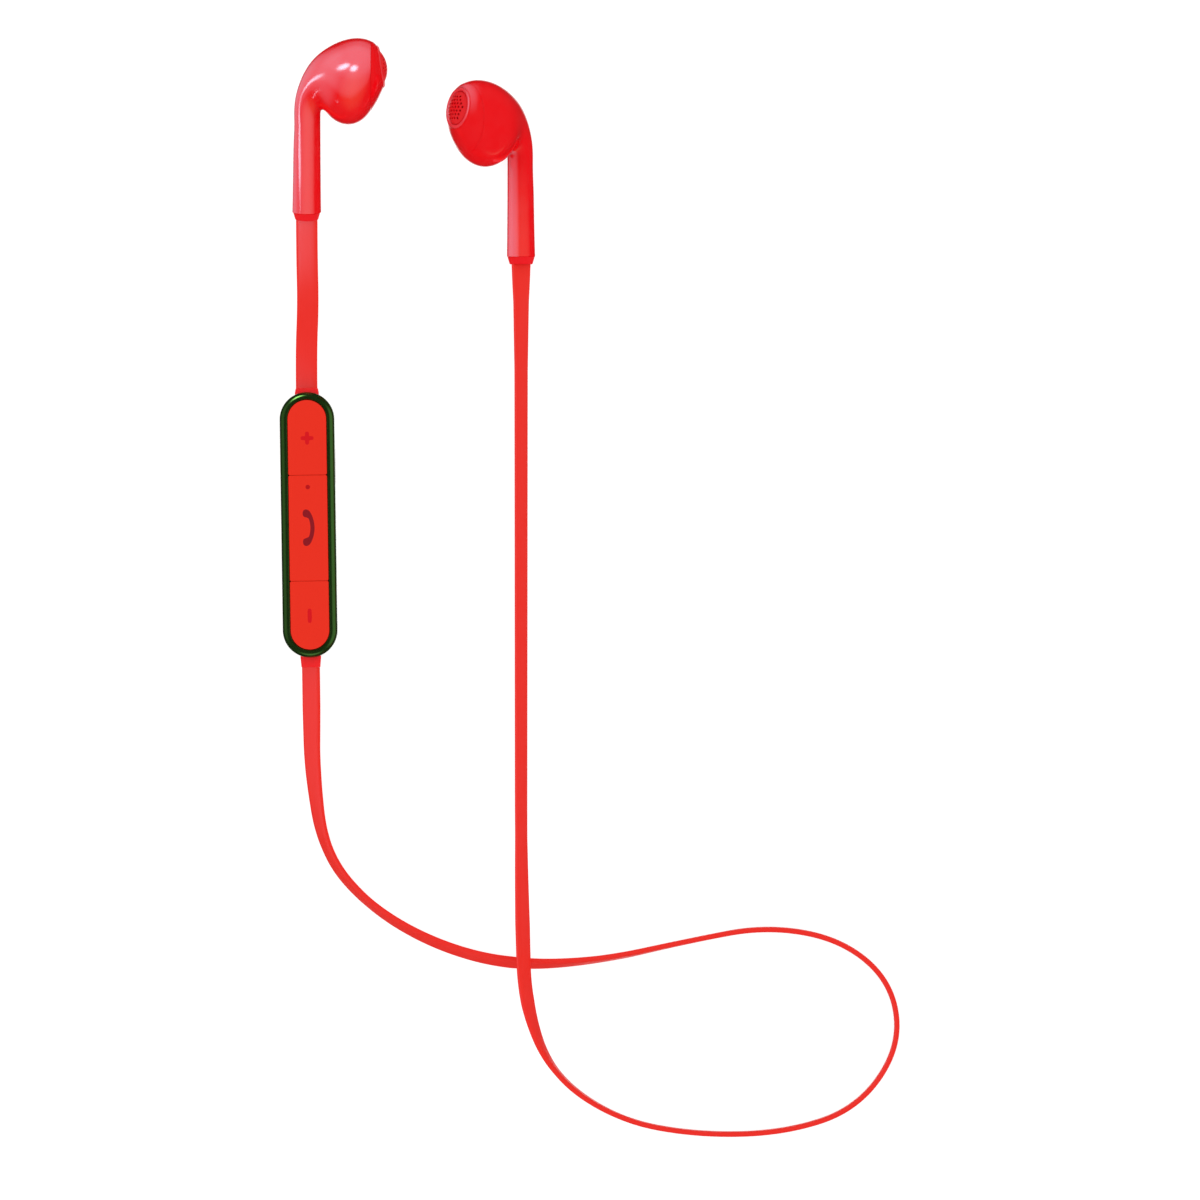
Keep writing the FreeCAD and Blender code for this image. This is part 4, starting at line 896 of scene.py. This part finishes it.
@dataclass(frozen=True)
class ControlPod:
    """The pod: bezel, back cover, three keys with symbols, light, sleeves and what is inside."""

    lean: float = math.radians(0.86)
    half_straight: float = 21.55e-3
    bezel_radius: float = 5.6e-3
    room_radius: float = 4.7e-3
    lip_radius: float = 4.05e-3
    lip_thickness: float = 0.8e-3
    top_round: float = 1.3e-3
    foot_round: float = 0.7e-3
    lip_round: float = 0.18e-3
    end_points: int = 61
    side_points: int = 32
    wall_rows: int = 5
    key_radius: float = 3.95e-3
    key_corner: float = 0.35e-3
    key_round: float = 0.12e-3
    key_gap: float = 0.02e-3
    key_underside: float = 6.9e-3
    key_ridge: float = 0.9
    corner_points: int = 25
    edge_points: int = 14
    face_rows: int = 15
    plus_line: float = 10.15e-3
    minus_line: float = -11.5e-3
    pillow_radius: float = 19.7e-3
    symbol_lift: float = 0.03e-3
    symbol_foot: float = 0.35e-3
    symbol_points: int = 120
    symbol_rows: int = 14
    bar_width: float = 0.84e-3
    plus_place: float = 17.7e-3
    plus_length: float = 2.64e-3
    minus_place: float = -18.6e-3
    minus_length: float = 2.9e-3
    light_place: float = 7.7e-3
    light_radius: float = 0.46e-3
    handset_place: float = -0.6e-3
    handset_bow: float = 6.0e-3
    handset_reach: float = 3.85e-3
    handset_grip: float = 0.42e-3
    handset_lobe: float = 0.82e-3
    handset_rows: int = 61
    handset_points: int = 24
    cord_height: float = 3.9e-3
    sleeve_neck: tuple[float, float] = (4.9e-3, 1.9e-3)
    sleeve_tip: tuple[float, float] = (4.62e-3, 1.45e-3)
    sleeve_flange: tuple[float, float] = (6.0e-3, 2.8e-3)
    sleeve_edge: float = 0.15e-3
    lower_lean: float = math.radians(38)
    wall_end: float = 27.15e-3
    upper_reach: float = 0.8e-3
    lower_reach: float = 2.0e-3
    flange_inner: float = 24.0e-3
    flange_thickness: float = 0.9e-3
    slot_gap: float = 0.05e-3
    port_middle: tuple[float, float, float] = (5.6e-3, 12.0e-3, 3.45e-3)
    port_size: tuple[float, float] = (7.7e-3, 2.7e-3)
    cutter_corner: float = 0.5e-3
    cutter_points: int = 40
    cutter_reach: float = 3.5e-3

    @property
    def middle(self) -> Array:
        """The middle of the pod's footprint."""
        low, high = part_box("bezel_frame")
        return np.array([(low.x + high.x) / 2, (low.y + high.y) / 2, 0.0])

    @property
    def crown(self) -> float:
        """The height of the keys' ridge."""
        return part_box("call_button")[1].z

    def placed(self, points: Array) -> Array:
        """Points of the pod's own frame in the object's frame."""
        return turned(points, 2, self.lean) + self.middle

    def pillow(self, x: Array) -> Array:
        """The height of the keys' face over a place across: a circle's arc about a long axis."""
        return self.crown - self.pillow_radius + np.sqrt(self.pillow_radius**2 - x**2)

    def slot_rings(self, radius: Array, height: Array) -> Array:
        """Rings with round ends, all about the same straight middle line.

        Args:
            radius: How far each ring stands off the middle line.
            height: The height of each ring.

        Returns:
            Rings of points: radius (cos t, sin t) about the ends of the line, and straight sides.
        """
        turn = np.linspace(0, math.pi, self.end_points)
        side = np.linspace(1, -1, self.side_points + 2)[1:-1]
        angle = np.concatenate([turn, np.full(len(side), math.pi), turn + math.pi, np.zeros(len(side))])
        along = np.concatenate([np.ones(len(turn)), side, -np.ones(len(turn)), -side]) * self.half_straight
        x = radius[:, None] * np.cos(angle)
        y = radius[:, None] * np.sin(angle) + along
        z = np.broadcast_to(height[:, None], x.shape)
        return self.placed(np.stack([x, y, z], axis=2))

    def bezel(self) -> bpy.types.Object:
        """The metal ring round the pod.

        Returns:
            A ring whose section is rounded outside at the top and the foot and has a lip over the
            keys, with two slots for the cords and a mouth for charging.
        """
        low, high = (corner.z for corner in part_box("bezel_frame"))
        top_in, top_down = quarter_round(self.top_round, count=13)
        foot_in, foot_up = quarter_round(self.foot_round, count=9)
        lip_in, lip_down = quarter_round(self.lip_round, count=6)
        under = high - self.lip_thickness
        wall = np.linspace(low + self.foot_round, high - self.top_round, self.wall_rows + 2)[1:-1]
        radius = [
            *self.bezel_radius - foot_in,
            *np.full(self.wall_rows, self.bezel_radius),
            *self.bezel_radius - top_in[::-1],
            *self.lip_radius + lip_in,
            self.lip_radius,
            self.room_radius,
            self.room_radius,
        ]
        height = [*low + foot_up, *wall, *high - top_down[::-1], *high - lip_down, under, under, low]
        rings = self.slot_rings(np.array(radius), np.array(height))
        cutters = [self.prism("port_cutter", 0, np.array(self.port_middle), *self.port_size)]
        for sign in (-1, 1):
            place = np.array([0.0, sign * self.wall_end, self.cord_height])
            cutters.append(self.prism("slot_cutter", 1, place, *self.slot_size(), self.sleeve_lean(sign)))
        return carve(make_piece("bezel_frame_skin", rings, endless=True), cutters)

    def sleeve_lean(self, sign: int) -> float:
        """How far the cord and its sleeve lean, at the upper end (1) or the lower end (-1)."""
        return self.lower_lean if sign < 0 else 0.0

    def slot_size(self) -> tuple[float, float]:
        """Width and height of a cord's slot, a little wider than the sleeve."""
        return self.sleeve_neck[0] + 2 * self.slot_gap, self.sleeve_neck[1] + 2 * self.slot_gap

    def prism(
        self, name: str, axis: int, middle: Array, width: float, height: float, lean: float = 0.0
    ) -> bpy.types.Object:
        """A long flat-ended cutter with rounded corners.

        Args:
            name: Its name.
            axis: 0 to run along X and 1 to run along Y.
            middle: Its middle.
            width: Its size across.
            height: Its size upwards.
            lean: How far its width rises from the level.

        Returns:
            The cutter.  Its outline is (+-reach across + corner cos t, +-reach up + corner sin t),
            and its ends are flat.
        """
        reach = np.array([width / 2 - self.cutter_corner, height / 2 - self.cutter_corner])
        turn = (np.arange(self.cutter_points) + 0.5) * FULL_TURN / self.cutter_points
        direction = np.column_stack([np.cos(turn), np.sin(turn)])
        outline = leaned(np.sign(direction) * reach + direction * self.cutter_corner, lean)
        rings = np.zeros((4, len(turn), 3))
        rings[:2, :, axis] = -self.cutter_reach
        rings[2:, :, axis] = self.cutter_reach
        rings[1:3, :, 1 - axis] = outline[:, 0]
        rings[1:3, :, 2] = outline[:, 1]
        return make_piece(name, self.placed(rings + middle))

    def key_outline(self, start: float, end: float, inset: Array) -> Array:
        """The outline of a key, set in by distances.

        Args:
            start: Where the key begins along the pod, or below the lower round end.
            end: Where it ends, or above the upper round end.
            inset: How far each ring is set in.

        Returns:
            Rings as (inset, place, 2): four arcs that turn a quarter each, or two of them that
            make one round end, joined by straight sides.
        """
        straight, half, corner = self.half_straight, self.key_radius, self.key_corner
        low_round, high_round = start < -straight, end > straight
        low = (0.0, -straight, half) if low_round else (half - corner, start + corner, corner)
        high = (0.0, straight, half) if high_round else (half - corner, end - corner, corner)
        turn = np.linspace(0, QUARTER_TURN, self.corner_points)
        arcs = []
        for number, (offset, along, radius) in enumerate((high, high, low, low)):
            angle = turn + number * QUARTER_TURN
            centre_x = offset if number in (0, 3) else -offset
            reach = radius - inset[:, None]
            arcs.append(np.stack([centre_x + reach * np.cos(angle), along + reach * np.sin(angle)], axis=2))
        share = np.linspace(0, 1, self.edge_points + 2)[1:-1, None]
        whole = []
        for arc, following in zip(arcs, arcs[1:] + arcs[:1]):
            whole += [arc, arc[:, -1:] * (1 - share) + following[:, :1] * share]
        return np.concatenate(whole, axis=1)

    def key(self, node: str, start: float, end: float) -> bpy.types.Object:
        """One key: a flat underside, straight walls, a rounded edge and the pillow of its face.

        Args:
            node: The key's node.
            start: Where the key begins along the pod.
            end: Where it ends.

        Returns:
            The key.  Its face is filled by rings that shrink evenly onto a ridge along its middle.
        """
        inset, drop = quarter_round(self.key_round, count=8)
        rings = self.key_outline(start, end, np.array([0.0, *inset[::-1]]))
        spread = self.key_radius * self.key_ridge
        low = -self.half_straight if start < -self.half_straight else start + spread
        high = self.half_straight if end > self.half_straight else end - spread
        edge = rings[-1]
        ridge = np.column_stack([np.zeros(len(edge)), np.clip(edge[:, 1], low, high)])
        share = np.linspace(0, 1, self.face_rows + 1)[1:, None, None]
        flat = np.concatenate([ridge[None], rings, edge * (1 - share) + ridge * share])
        height = self.pillow(flat[:, :, 0])
        height[:2] = self.key_underside
        height[2 : 2 + len(drop)] -= drop[::-1, None]
        points = np.concatenate([flat, height[:, :, None]], axis=2)
        return make_piece(f"{node}_skin", self.placed(points))

    def mark(self, node: str, along: float, outline: Array) -> bpy.types.Object:
        """A low mark on the keys' face.

        Args:
            node: The mark's node.
            along: Where its middle lies along the pod.
            outline: How far its edge stands off its middle, at even turns from the X axis.

        Returns:
            The mark.  Its height over the face falls towards the edge as the square root of
            1 - r^4, where r is the share of the way out.
        """
        turn = np.linspace(0, FULL_TURN, len(outline), endpoint=False)
        share = np.sin(np.linspace(0, QUARTER_TURN, self.symbol_rows))[:, None]
        x = share * outline * np.cos(turn)
        y = share * outline * np.sin(turn)
        z = self.pillow(x) + self.symbol_lift * np.sqrt(1 - share**4)
        top = np.stack([x, y, z], axis=2)
        foot = top[-1:].copy()
        foot[:, :, 2] = z[-1].min() - self.symbol_foot
        rings = np.concatenate([top, foot, foot * (0, 0, 1)]) + np.array([0.0, along, 0.0])
        return make_piece(f"{node}_skin", self.placed(rings))

    def handset(self, node: str, along: float) -> bpy.types.Object:
        """The handset: a bowed grip with a lobe at each end that hooks inwards.

        Args:
            node: The mark's node.
            along: Where its middle lies along the pod.

        Returns:
            The handset: low rounded sections along a circle's arc, whose half width grows from
            the grip to the lobes and closes round at both tips.
        """
        bow, grip, lobe = self.handset_bow, self.handset_grip, self.handset_lobe
        swell_from, swell_over, tip_from, tip_over = 0.45, 0.30, 0.72, 0.28
        place = -np.cos(np.linspace(0, math.pi, self.handset_rows))
        angle = place * math.asin(self.handset_reach / bow)
        swell = np.clip((np.abs(place) - swell_from) / swell_over, 0, 1)
        hook = (lobe - grip) * swell**2 * (3 - 2 * swell)
        tip = np.clip((np.abs(place) - tip_from) / tip_over, 0, 1)
        half = (grip + hook) * np.sqrt(1 - tip**2)
        turn = np.linspace(0, FULL_TURN, self.handset_points, endpoint=False)
        off = (bow - hook)[:, None] + half[:, None] * np.cos(turn)
        x = off * np.cos(angle)[:, None] + grip * 2 - bow
        y = off * np.sin(angle)[:, None]
        rise = np.where(np.sin(turn) > 0, self.symbol_lift, self.symbol_foot) * np.sin(turn)
        z = self.pillow(x) + rise * (half / lobe)[:, None]
        return make_piece(f"{node}_skin", self.placed(np.stack([x, y + along, z], axis=2)))

    def sleeve(self, node: str, sign: int) -> bpy.types.Object:
        """A rubber sleeve: a flange inside the wall, a neck through it and a tapered tip.

        Args:
            node: The sleeve's node.
            sign: 1 at the upper end of the pod and -1 at the lower.

        Returns:
            The sleeve: flat sections with round edges, carried along the pod's line.
        """
        inner, edge = self.flange_inner, self.sleeve_edge
        outer = self.wall_end + (self.upper_reach if sign > 0 else self.lower_reach)
        tip = np.array(self.sleeve_tip)
        stations = (
            (inner, 0.0, 0.0),
            (inner, *self.sleeve_flange),
            (inner + self.flange_thickness, *self.sleeve_flange),
            (inner + self.flange_thickness, *self.sleeve_neck),
            (self.wall_end, *self.sleeve_neck),
            (outer - edge, *tip),
            (outer - 0.3 * edge, *tip - 0.6 * edge),
            (outer, *tip - 2 * edge),
            (outer, 0.0, 0.0),
        )
        rings = []
        for along, width, height in stations:
            flat = leaned(stadium(width, height), self.sleeve_lean(sign))
            rings.append(np.insert(flat, 1, sign * along, axis=1))
        lifted = np.stack(rings) + np.array([0.0, 0.0, self.cord_height])
        return make_piece(f"{node}_skin", self.placed(lifted))

    def bar(self, length: float, crosswise: bool = False) -> Array:
        """The outline of a bar with rounded corners, as a mark takes it.

        Args:
            length: Its length.
            crosswise: Whether it lies across the pod and not along it.

        Returns:
            How far its edge stands off its middle at even turns t: the superellipse
            (|cos t / half width|^4 + |sin t / half length|^4) to the power -1/4.
        """
        turn = np.linspace(0, FULL_TURN, self.symbol_points, endpoint=False)
        half = np.array([self.bar_width, length]) / 2
        half_x, half_y = half[::-1] if crosswise else half
        return ((np.abs(np.cos(turn)) / half_x) ** 4 + (np.abs(np.sin(turn)) / half_y) ** 4) ** -0.25

    def build(self) -> None:
        """Make every piece of the pod and dress it."""
        plus, gap = self.plus_length, self.key_gap
        # The plus is two bars crossed, joined by a smooth maximum: the tenth root of the sum of the
        # tenth powers
        cross = (self.bar(plus) ** 10 + self.bar(plus, crosswise=True) ** 10) ** 0.1
        dash = self.bar(self.minus_length)
        upper, lower, far = self.plus_line, self.minus_line, self.wall_end * 2
        light = np.full(self.symbol_points, self.light_radius)
        pieces = (
            ("bezel_frame", self.bezel(), BEZEL),
            ("back_cover", smooth_copy("back_cover"), COVER),
            ("charging_receptacle", smooth_copy("charging_receptacle"), NICKEL),
            ("plus_button", self.key("plus_button", upper + gap, far), KEY),
            ("call_button", self.key("call_button", lower + gap, upper - gap), KEY),
            ("minus_button", self.key("minus_button", -far, lower - gap), KEY),
            ("plus_symbol", self.mark("plus_symbol", self.plus_place, cross), SYMBOL),
            ("minus_symbol", self.mark("minus_symbol", self.minus_place, dash), SYMBOL),
            ("indicator_lens", self.mark("indicator_lens", self.light_place, light), LENS),
            ("handset_symbol", self.handset("handset_symbol", self.handset_place), HANDSET),
            ("upper_grommet", self.sleeve("upper_grommet", 1), SLEEVE),
            ("lower_grommet", self.sleeve("lower_grommet", -1), SLEEVE),
        )
        for node, piece, finish in pieces:
            fit(piece, finish, node)
        for node, finish in NODE_FINISHES.items():
            dress_node(node, finish)


# The power of a lamp of one square metre that shows in a mirror as bright as lit white paper
PAPER_WATTS = 4.0
COLD_WHITE = "#A2E7FF"
WARM_WHITE = "#FFDC9A"
PALE_WARM_WHITE = "#FFE8C8"
WHITE = "#FFFFFF"


@dataclass(frozen=True)
class Window:
    """A bright window or card, seen only as a reflection and only by the pieces it is meant for.

    The way is the direction it lies in from the place it hangs around, the size its width on the
    level and its height, and the glow its brightness in the middle, where white paper is 1.  A
    soft one fades out evenly from a share of the way to its edge, and the roll turns it.
    """

    name: str
    way: tuple[float, float, float]
    size: tuple[float, float]
    glow: float
    pieces: tuple[str, ...]
    fade_from: float = 1.0
    roll: float = 0.0
    around: tuple[float, float, float] = (0.0, 0.0, 0.0)
    distance: float = 1.0
    tint: str = COLD_WHITE

    def build(self) -> None:
        """Hang the window, fade its edges and link it to its pieces."""
        light = bpy.data.lights.new(self.name, "AREA")
        light.shape = "RECTANGLE"
        light.size, light.size_y = self.size
        light.energy = PAPER_WATTS * self.glow * math.prod(self.size)
        light.color = linear(self.tint)[:3]
        if self.fade_from < 1:
            self.fade(light)
        lamp = bpy.data.objects.new(self.name, light)
        bpy.context.scene.collection.objects.link(lamp)
        toward = Vector(self.way).normalized()
        lamp.location = Vector(self.around) + toward * self.distance
        lamp.rotation_mode = "QUATERNION"
        lamp.rotation_quaternion = toward.to_track_quat("Z", "Y") @ Quaternion((0.0, 0.0, 1.0), self.roll)
        lamp.visible_camera = False
        lamp.visible_diffuse = False
        lit = bpy.data.collections.new(f"{self.name}_lit")
        for piece in bpy.context.scene.objects:
            if piece.name.startswith(self.pieces):
                lit.objects.link(piece)
        lamp.light_linking.receiver_collection = lit

    def fade(self, light: bpy.types.Light) -> None:
        """Let the light fall smoothly from full to none towards the ellipse inside its edges.

        Args:
            light: The window's light.
        """
        light.use_nodes = True
        tree = light.node_tree
        tree.nodes.clear()
        place = add_node(tree, "ShaderNodeNewGeometry", {}).outputs["Parametric"]
        middle = {"Vector": place, "Location": (-1.0, -1.0, 0.0), "Scale": (2.0, 2.0, 0.0)}
        centred = add_node(tree, "ShaderNodeMapping", middle).outputs["Vector"]
        reach = add_node(tree, "ShaderNodeVectorMath", {"Vector": centred}, operation="LENGTH")
        fall = {"Value": reach.outputs["Value"], "From Min": 1.0, "From Max": self.fade_from}
        share = add_node(tree, "ShaderNodeMapRange", fall, interpolation_type="SMOOTHSTEP")
        glow = add_node(tree, "ShaderNodeEmission", {"Strength": share.outputs["Result"]})
        add_node(tree, "ShaderNodeOutputLight", {"Surface": glow.outputs["Emission"]})


LEFT_SHELL = ("left_rear_shell",)
RIGHT_SHELL = ("right_rear_shell", "right_front_shell")
RIGHT_STEM = ("right_rear_shell",)
RIGHT_RING = ("right_port_ring",)
METAL = ("bezel_frame", "charging_receptacle")


@dataclass(frozen=True)
class Studio:
    """A white light table, an even dome of light, windows for the reflections and the camera."""

    view_middle: tuple[float, float] = (39.26e-3, -50.53e-3)
    view_width: float = 246.0e-3
    lens: float = 400.0
    sensor: float = 36.0
    sight: float = 20.0
    floor_size: float = 3.0
    floor_drop: float = 0.02e-3
    floor_glow: float = 0.82
    floor_grey: str = "#A2A2A2"
    fill: float = 1.12
    room: float = 0.02
    table: float = 1.6
    table_from: float = -0.85
    table_full: float = -1.0
    windows: tuple[Window, ...] = (
        Window("left_north", (0.10, 0.89, 0.45), (5.4, 5.4), 0.85, LEFT_SHELL, fade_from=0.0),
        Window("left_west", (-0.96, 0.25, -0.10), (2.9, 2.9), 1.2, LEFT_SHELL, fade_from=0.0),
        Window("left_top", (-0.05, 0.46, 0.89), (9.2, 9.2), 0.79, LEFT_SHELL, fade_from=0.0),
        Window(
            "left_room", (0.1, -0.5, 0.85), (3.6, 3.6), 0.40, LEFT_SHELL,
            fade_from=0.0, tint=WARM_WHITE,
        ),
        Window(
            "stem_card", (-0.03, 0.30, 0.95), (30e-3, 32e-3), 5.0, LEFT_SHELL,
            fade_from=0.5, around=(-46.8e-3, 37.5e-3, 17.2e-3), distance=0.0,
        ),
        Window(
            "stem_spot", (-0.761, -0.285, 0.582), (6.0e-3, 4.2e-3), 3.6, LEFT_SHELL,
            fade_from=0.2, around=(-22e-3, 31.3e-3, 5.8e-3), distance=0.03,
        ),
        Window(
            "shoulder_strip", (-0.979, 0.055, 0.198), (24e-3, 7e-3), 6.0, LEFT_SHELL,
            fade_from=0.2, roll=-0.677, around=(-19.8e-3, 54.6e-3, 11.4e-3), distance=0.0293,
        ),
        Window(
            "head_window", (-0.515, 0.552, 0.656), (0.78, 0.32), 9.0, LEFT_SHELL,
            fade_from=0.3, roll=-0.55,
        ),
        Window("head_low_window", (0.02, 0.48, 0.87), (0.76, 0.38), 8.5, LEFT_SHELL, fade_from=0.3),
        Window("right_sky", (-0.70, 0.68, 0.05), (2.8, 2.8), 0.9, RIGHT_SHELL, fade_from=0.0),
        Window("cord_sky", (-0.90, 0.10, 0.40), (3.2, 3.2), 1.6, ("long_cord",), fade_from=0.0),
        Window("foot_sky", (-0.25, -0.42, 0.87), (1.2, 1.2), 8.0, ("short_cord",), fade_from=0.0),
        Window("ring_sky", (-0.3, 0.5, 0.8), (4.0, 4.0), 4.0, RIGHT_RING, fade_from=0.0),
        Window(
            "right_stem_card", (-0.906, 0.0, 0.423), (62e-3, 13e-3), 1.45, RIGHT_STEM,
            fade_from=0.0, around=(23.8e-3, 23.0e-3, 4.4e-3), distance=0.0045,
        ),
        Window(
            "right_stem_top_card", (0.259, 0.0, 0.966), (40e-3, 46e-3), 0.42, RIGHT_STEM,
            fade_from=0.0, around=(23.1e-3, 21.5e-3, 2.9e-3), distance=0.01, tint=PALE_WARM_WHITE,
        ),
        Window("bezel_card", (0.85, -0.1, 0.5), (1.8, 1.6), 0.38, METAL, fade_from=0.5, tint=WHITE),
        Window("bezel_side_card", (-0.85, 0.1, 0.4), (1.8, 1.6), 0.20, METAL, fade_from=0.3, tint=WHITE),
        Window("bezel_foot_card", (0.0, -0.9, 0.4), (1.2, 0.8), 0.6, METAL, fade_from=0.3, tint=WHITE),
        Window("bezel_glint", (-0.38, 0.77, 0.52), (0.66, 0.66), 7.0, METAL, fade_from=0.1, tint=WHITE),
    )

    def floor(self) -> None:
        """A wide light table of opal acrylic, just under the object."""
        half = self.floor_size / 2
        corners = np.array([(-half, -half), (half, -half), (half, half), (-half, half)])
        corners = np.insert(corners, 2, -self.floor_drop, axis=1)
        mesh = bpy.data.meshes.new("floor")
        mesh.from_pydata(corners.tolist(), [], [(0, 1, 2, 3)])
        floor = bpy.data.objects.new("floor", mesh)
        bpy.context.scene.collection.objects.link(floor)
        opal = bpy.data.materials.new("opal_acrylic")
        opal.use_nodes = True
        tree = opal.node_tree
        tree.nodes.clear()
        lit = add_node(tree, "ShaderNodeEmission", {"Strength": self.floor_glow})
        matt = add_node(tree, "ShaderNodeBsdfDiffuse", {"Color": linear(self.floor_grey)})
        both = {"Shader": lit.outputs["Emission"], "Shader_001": matt.outputs["BSDF"]}
        surface = add_node(tree, "ShaderNodeAddShader", both)
        add_node(tree, "ShaderNodeOutputMaterial", {"Surface": surface.outputs["Shader"]})
        mesh.materials.append(opal)
        floor.visible_glossy = False

    def dome(self) -> None:
        """An even fill for matt light, and for reflections a dim room over a white table."""
        world = bpy.data.worlds.new("studio")
        bpy.context.scene.world = world
        world.use_nodes = True
        tree = world.node_tree
        tree.nodes.clear()
        way = add_node(tree, "ShaderNodeTexCoord", {}).outputs["Generated"]
        height = add_node(tree, "ShaderNodeSeparateXYZ", {"Vector": way}).outputs["Z"]
        under = {
            "Value": height,
            "From Min": self.table_from,
            "From Max": self.table_full,
            "To Min": self.room,
            "To Max": self.table,
        }
        room = add_node(tree, "ShaderNodeMapRange", under, interpolation_type="SMOOTHSTEP")
        glossy = add_node(tree, "ShaderNodeLightPath", {}).outputs["Is Glossy Ray"]
        level = {"Factor_Float": glossy, "A_Float": self.fill, "B_Float": room.outputs["Result"]}
        strength = add_node(tree, "ShaderNodeMix", level, data_type="FLOAT")
        white = {"Color": linear(WHITE), "Strength": output_of(strength, "Result_Float")}
        light = add_node(tree, "ShaderNodeBackground", white)
        add_node(tree, "ShaderNodeOutputWorld", {"Surface": light.outputs["Background"]})

    def camera(self) -> None:
        """A long lens straight above, with the photograph's frame."""
        data = bpy.data.cameras.new("camera")
        data.lens = self.lens
        data.sensor_width = self.sensor
        data.clip_end = self.sight
        camera = bpy.data.objects.new("camera", data)
        bpy.context.scene.collection.objects.link(camera)
        camera.location = (*self.view_middle, self.view_width * self.lens / self.sensor)
        bpy.context.scene.camera = camera

    def build(self) -> None:
        """Set up the floor, the lights, the camera and the plain view of colours."""
        self.floor()
        self.dome()
        for window in self.windows:
            window.build()
        self.camera()
        bpy.context.scene.view_settings.view_transform = "Standard"


EARBUDS = (
    Earbud("left", (-20.8e-3, 27.4e-3, 2.45e-3), tilt=math.radians(11.54), roll=0.0),
    Earbud("right", (23.1e-3, 18.2e-3, 2.88e-3), tilt=0.0, roll=math.radians(180 + 33)),
)
CORDS = (
    FlatCord(
        "short_cord",
        (
            (-0.0208, 0.0274, 0.00245, 0.0),
            (-0.0208, 0.01956, 0.00085, 0.0),
            (-0.02055, 0.0102, 0.00085, 0.0),
            (-0.02088, 0.0002, 0.0039, 0.0),
            (-0.02078, -0.0073, 0.0039, 0.0),
        ),
        length=0.0345,
    ),
    FlatCord(
        "long_cord",
        (
            (-0.01991, -0.0643, 0.0039, 142.0),
            (-0.01978, -0.0733, 0.0039, 142.0),
            (-0.0197, -0.0855, 0.00215, 131.0),
            (-0.0174, -0.1020, 0.00225, 113.0),
            (-0.0087, -0.1128, 0.00225, 108.0),
            (0.0049, -0.1210, 0.0022, 113.0),
            (0.0209, -0.1254, 0.0022, 117.0),
            (0.0391, -0.1245, 0.00225, 100.0),
            (0.0576, -0.1203, 0.00225, 92.0),
            (0.0735, -0.1173, 0.00225, 90.0),
            (0.0889, -0.1201, 0.00225, 90.0),
            (0.0992, -0.1291, 0.00225, 90.0),
            (0.1007, -0.1423, 0.00225, 90.0),
            (0.0919, -0.1548, 0.00225, 90.0),
            (0.0769, -0.1597, 0.00225, 90.0),
            (0.0589, -0.1601, 0.00225, 90.0),
            (0.0428, -0.1570, 0.00225, 90.0),
            (0.0294, -0.1478, 0.0026, 96.0),
            (0.0239, -0.1332, 0.0069, 122.0),
            (0.0234, -0.1170, 0.0069, 126.0),
            (0.0231, -0.0992, 0.00215, 117.0),
            (0.0231, -0.0813, 0.00215, 118.0),
            (0.0231, -0.0166, 0.00215, 120.0),
            (0.0231, -0.0032, 0.00215, 121.0),
            (0.0231, 0.0102, 0.00288, 130.0),
            (0.0231, 0.0182, 0.00288, 147.0),
        ),
        length=0.4262,
    ),
)


def main() -> None:
    """Build the earbuds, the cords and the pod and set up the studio."""
    logging.basicConfig(level=logging.INFO, format="%(message)s")
    for part in (*EARBUDS, *CORDS, ControlPod(), Studio()):
        part.build()


if __name__ == "__main__":
    main()
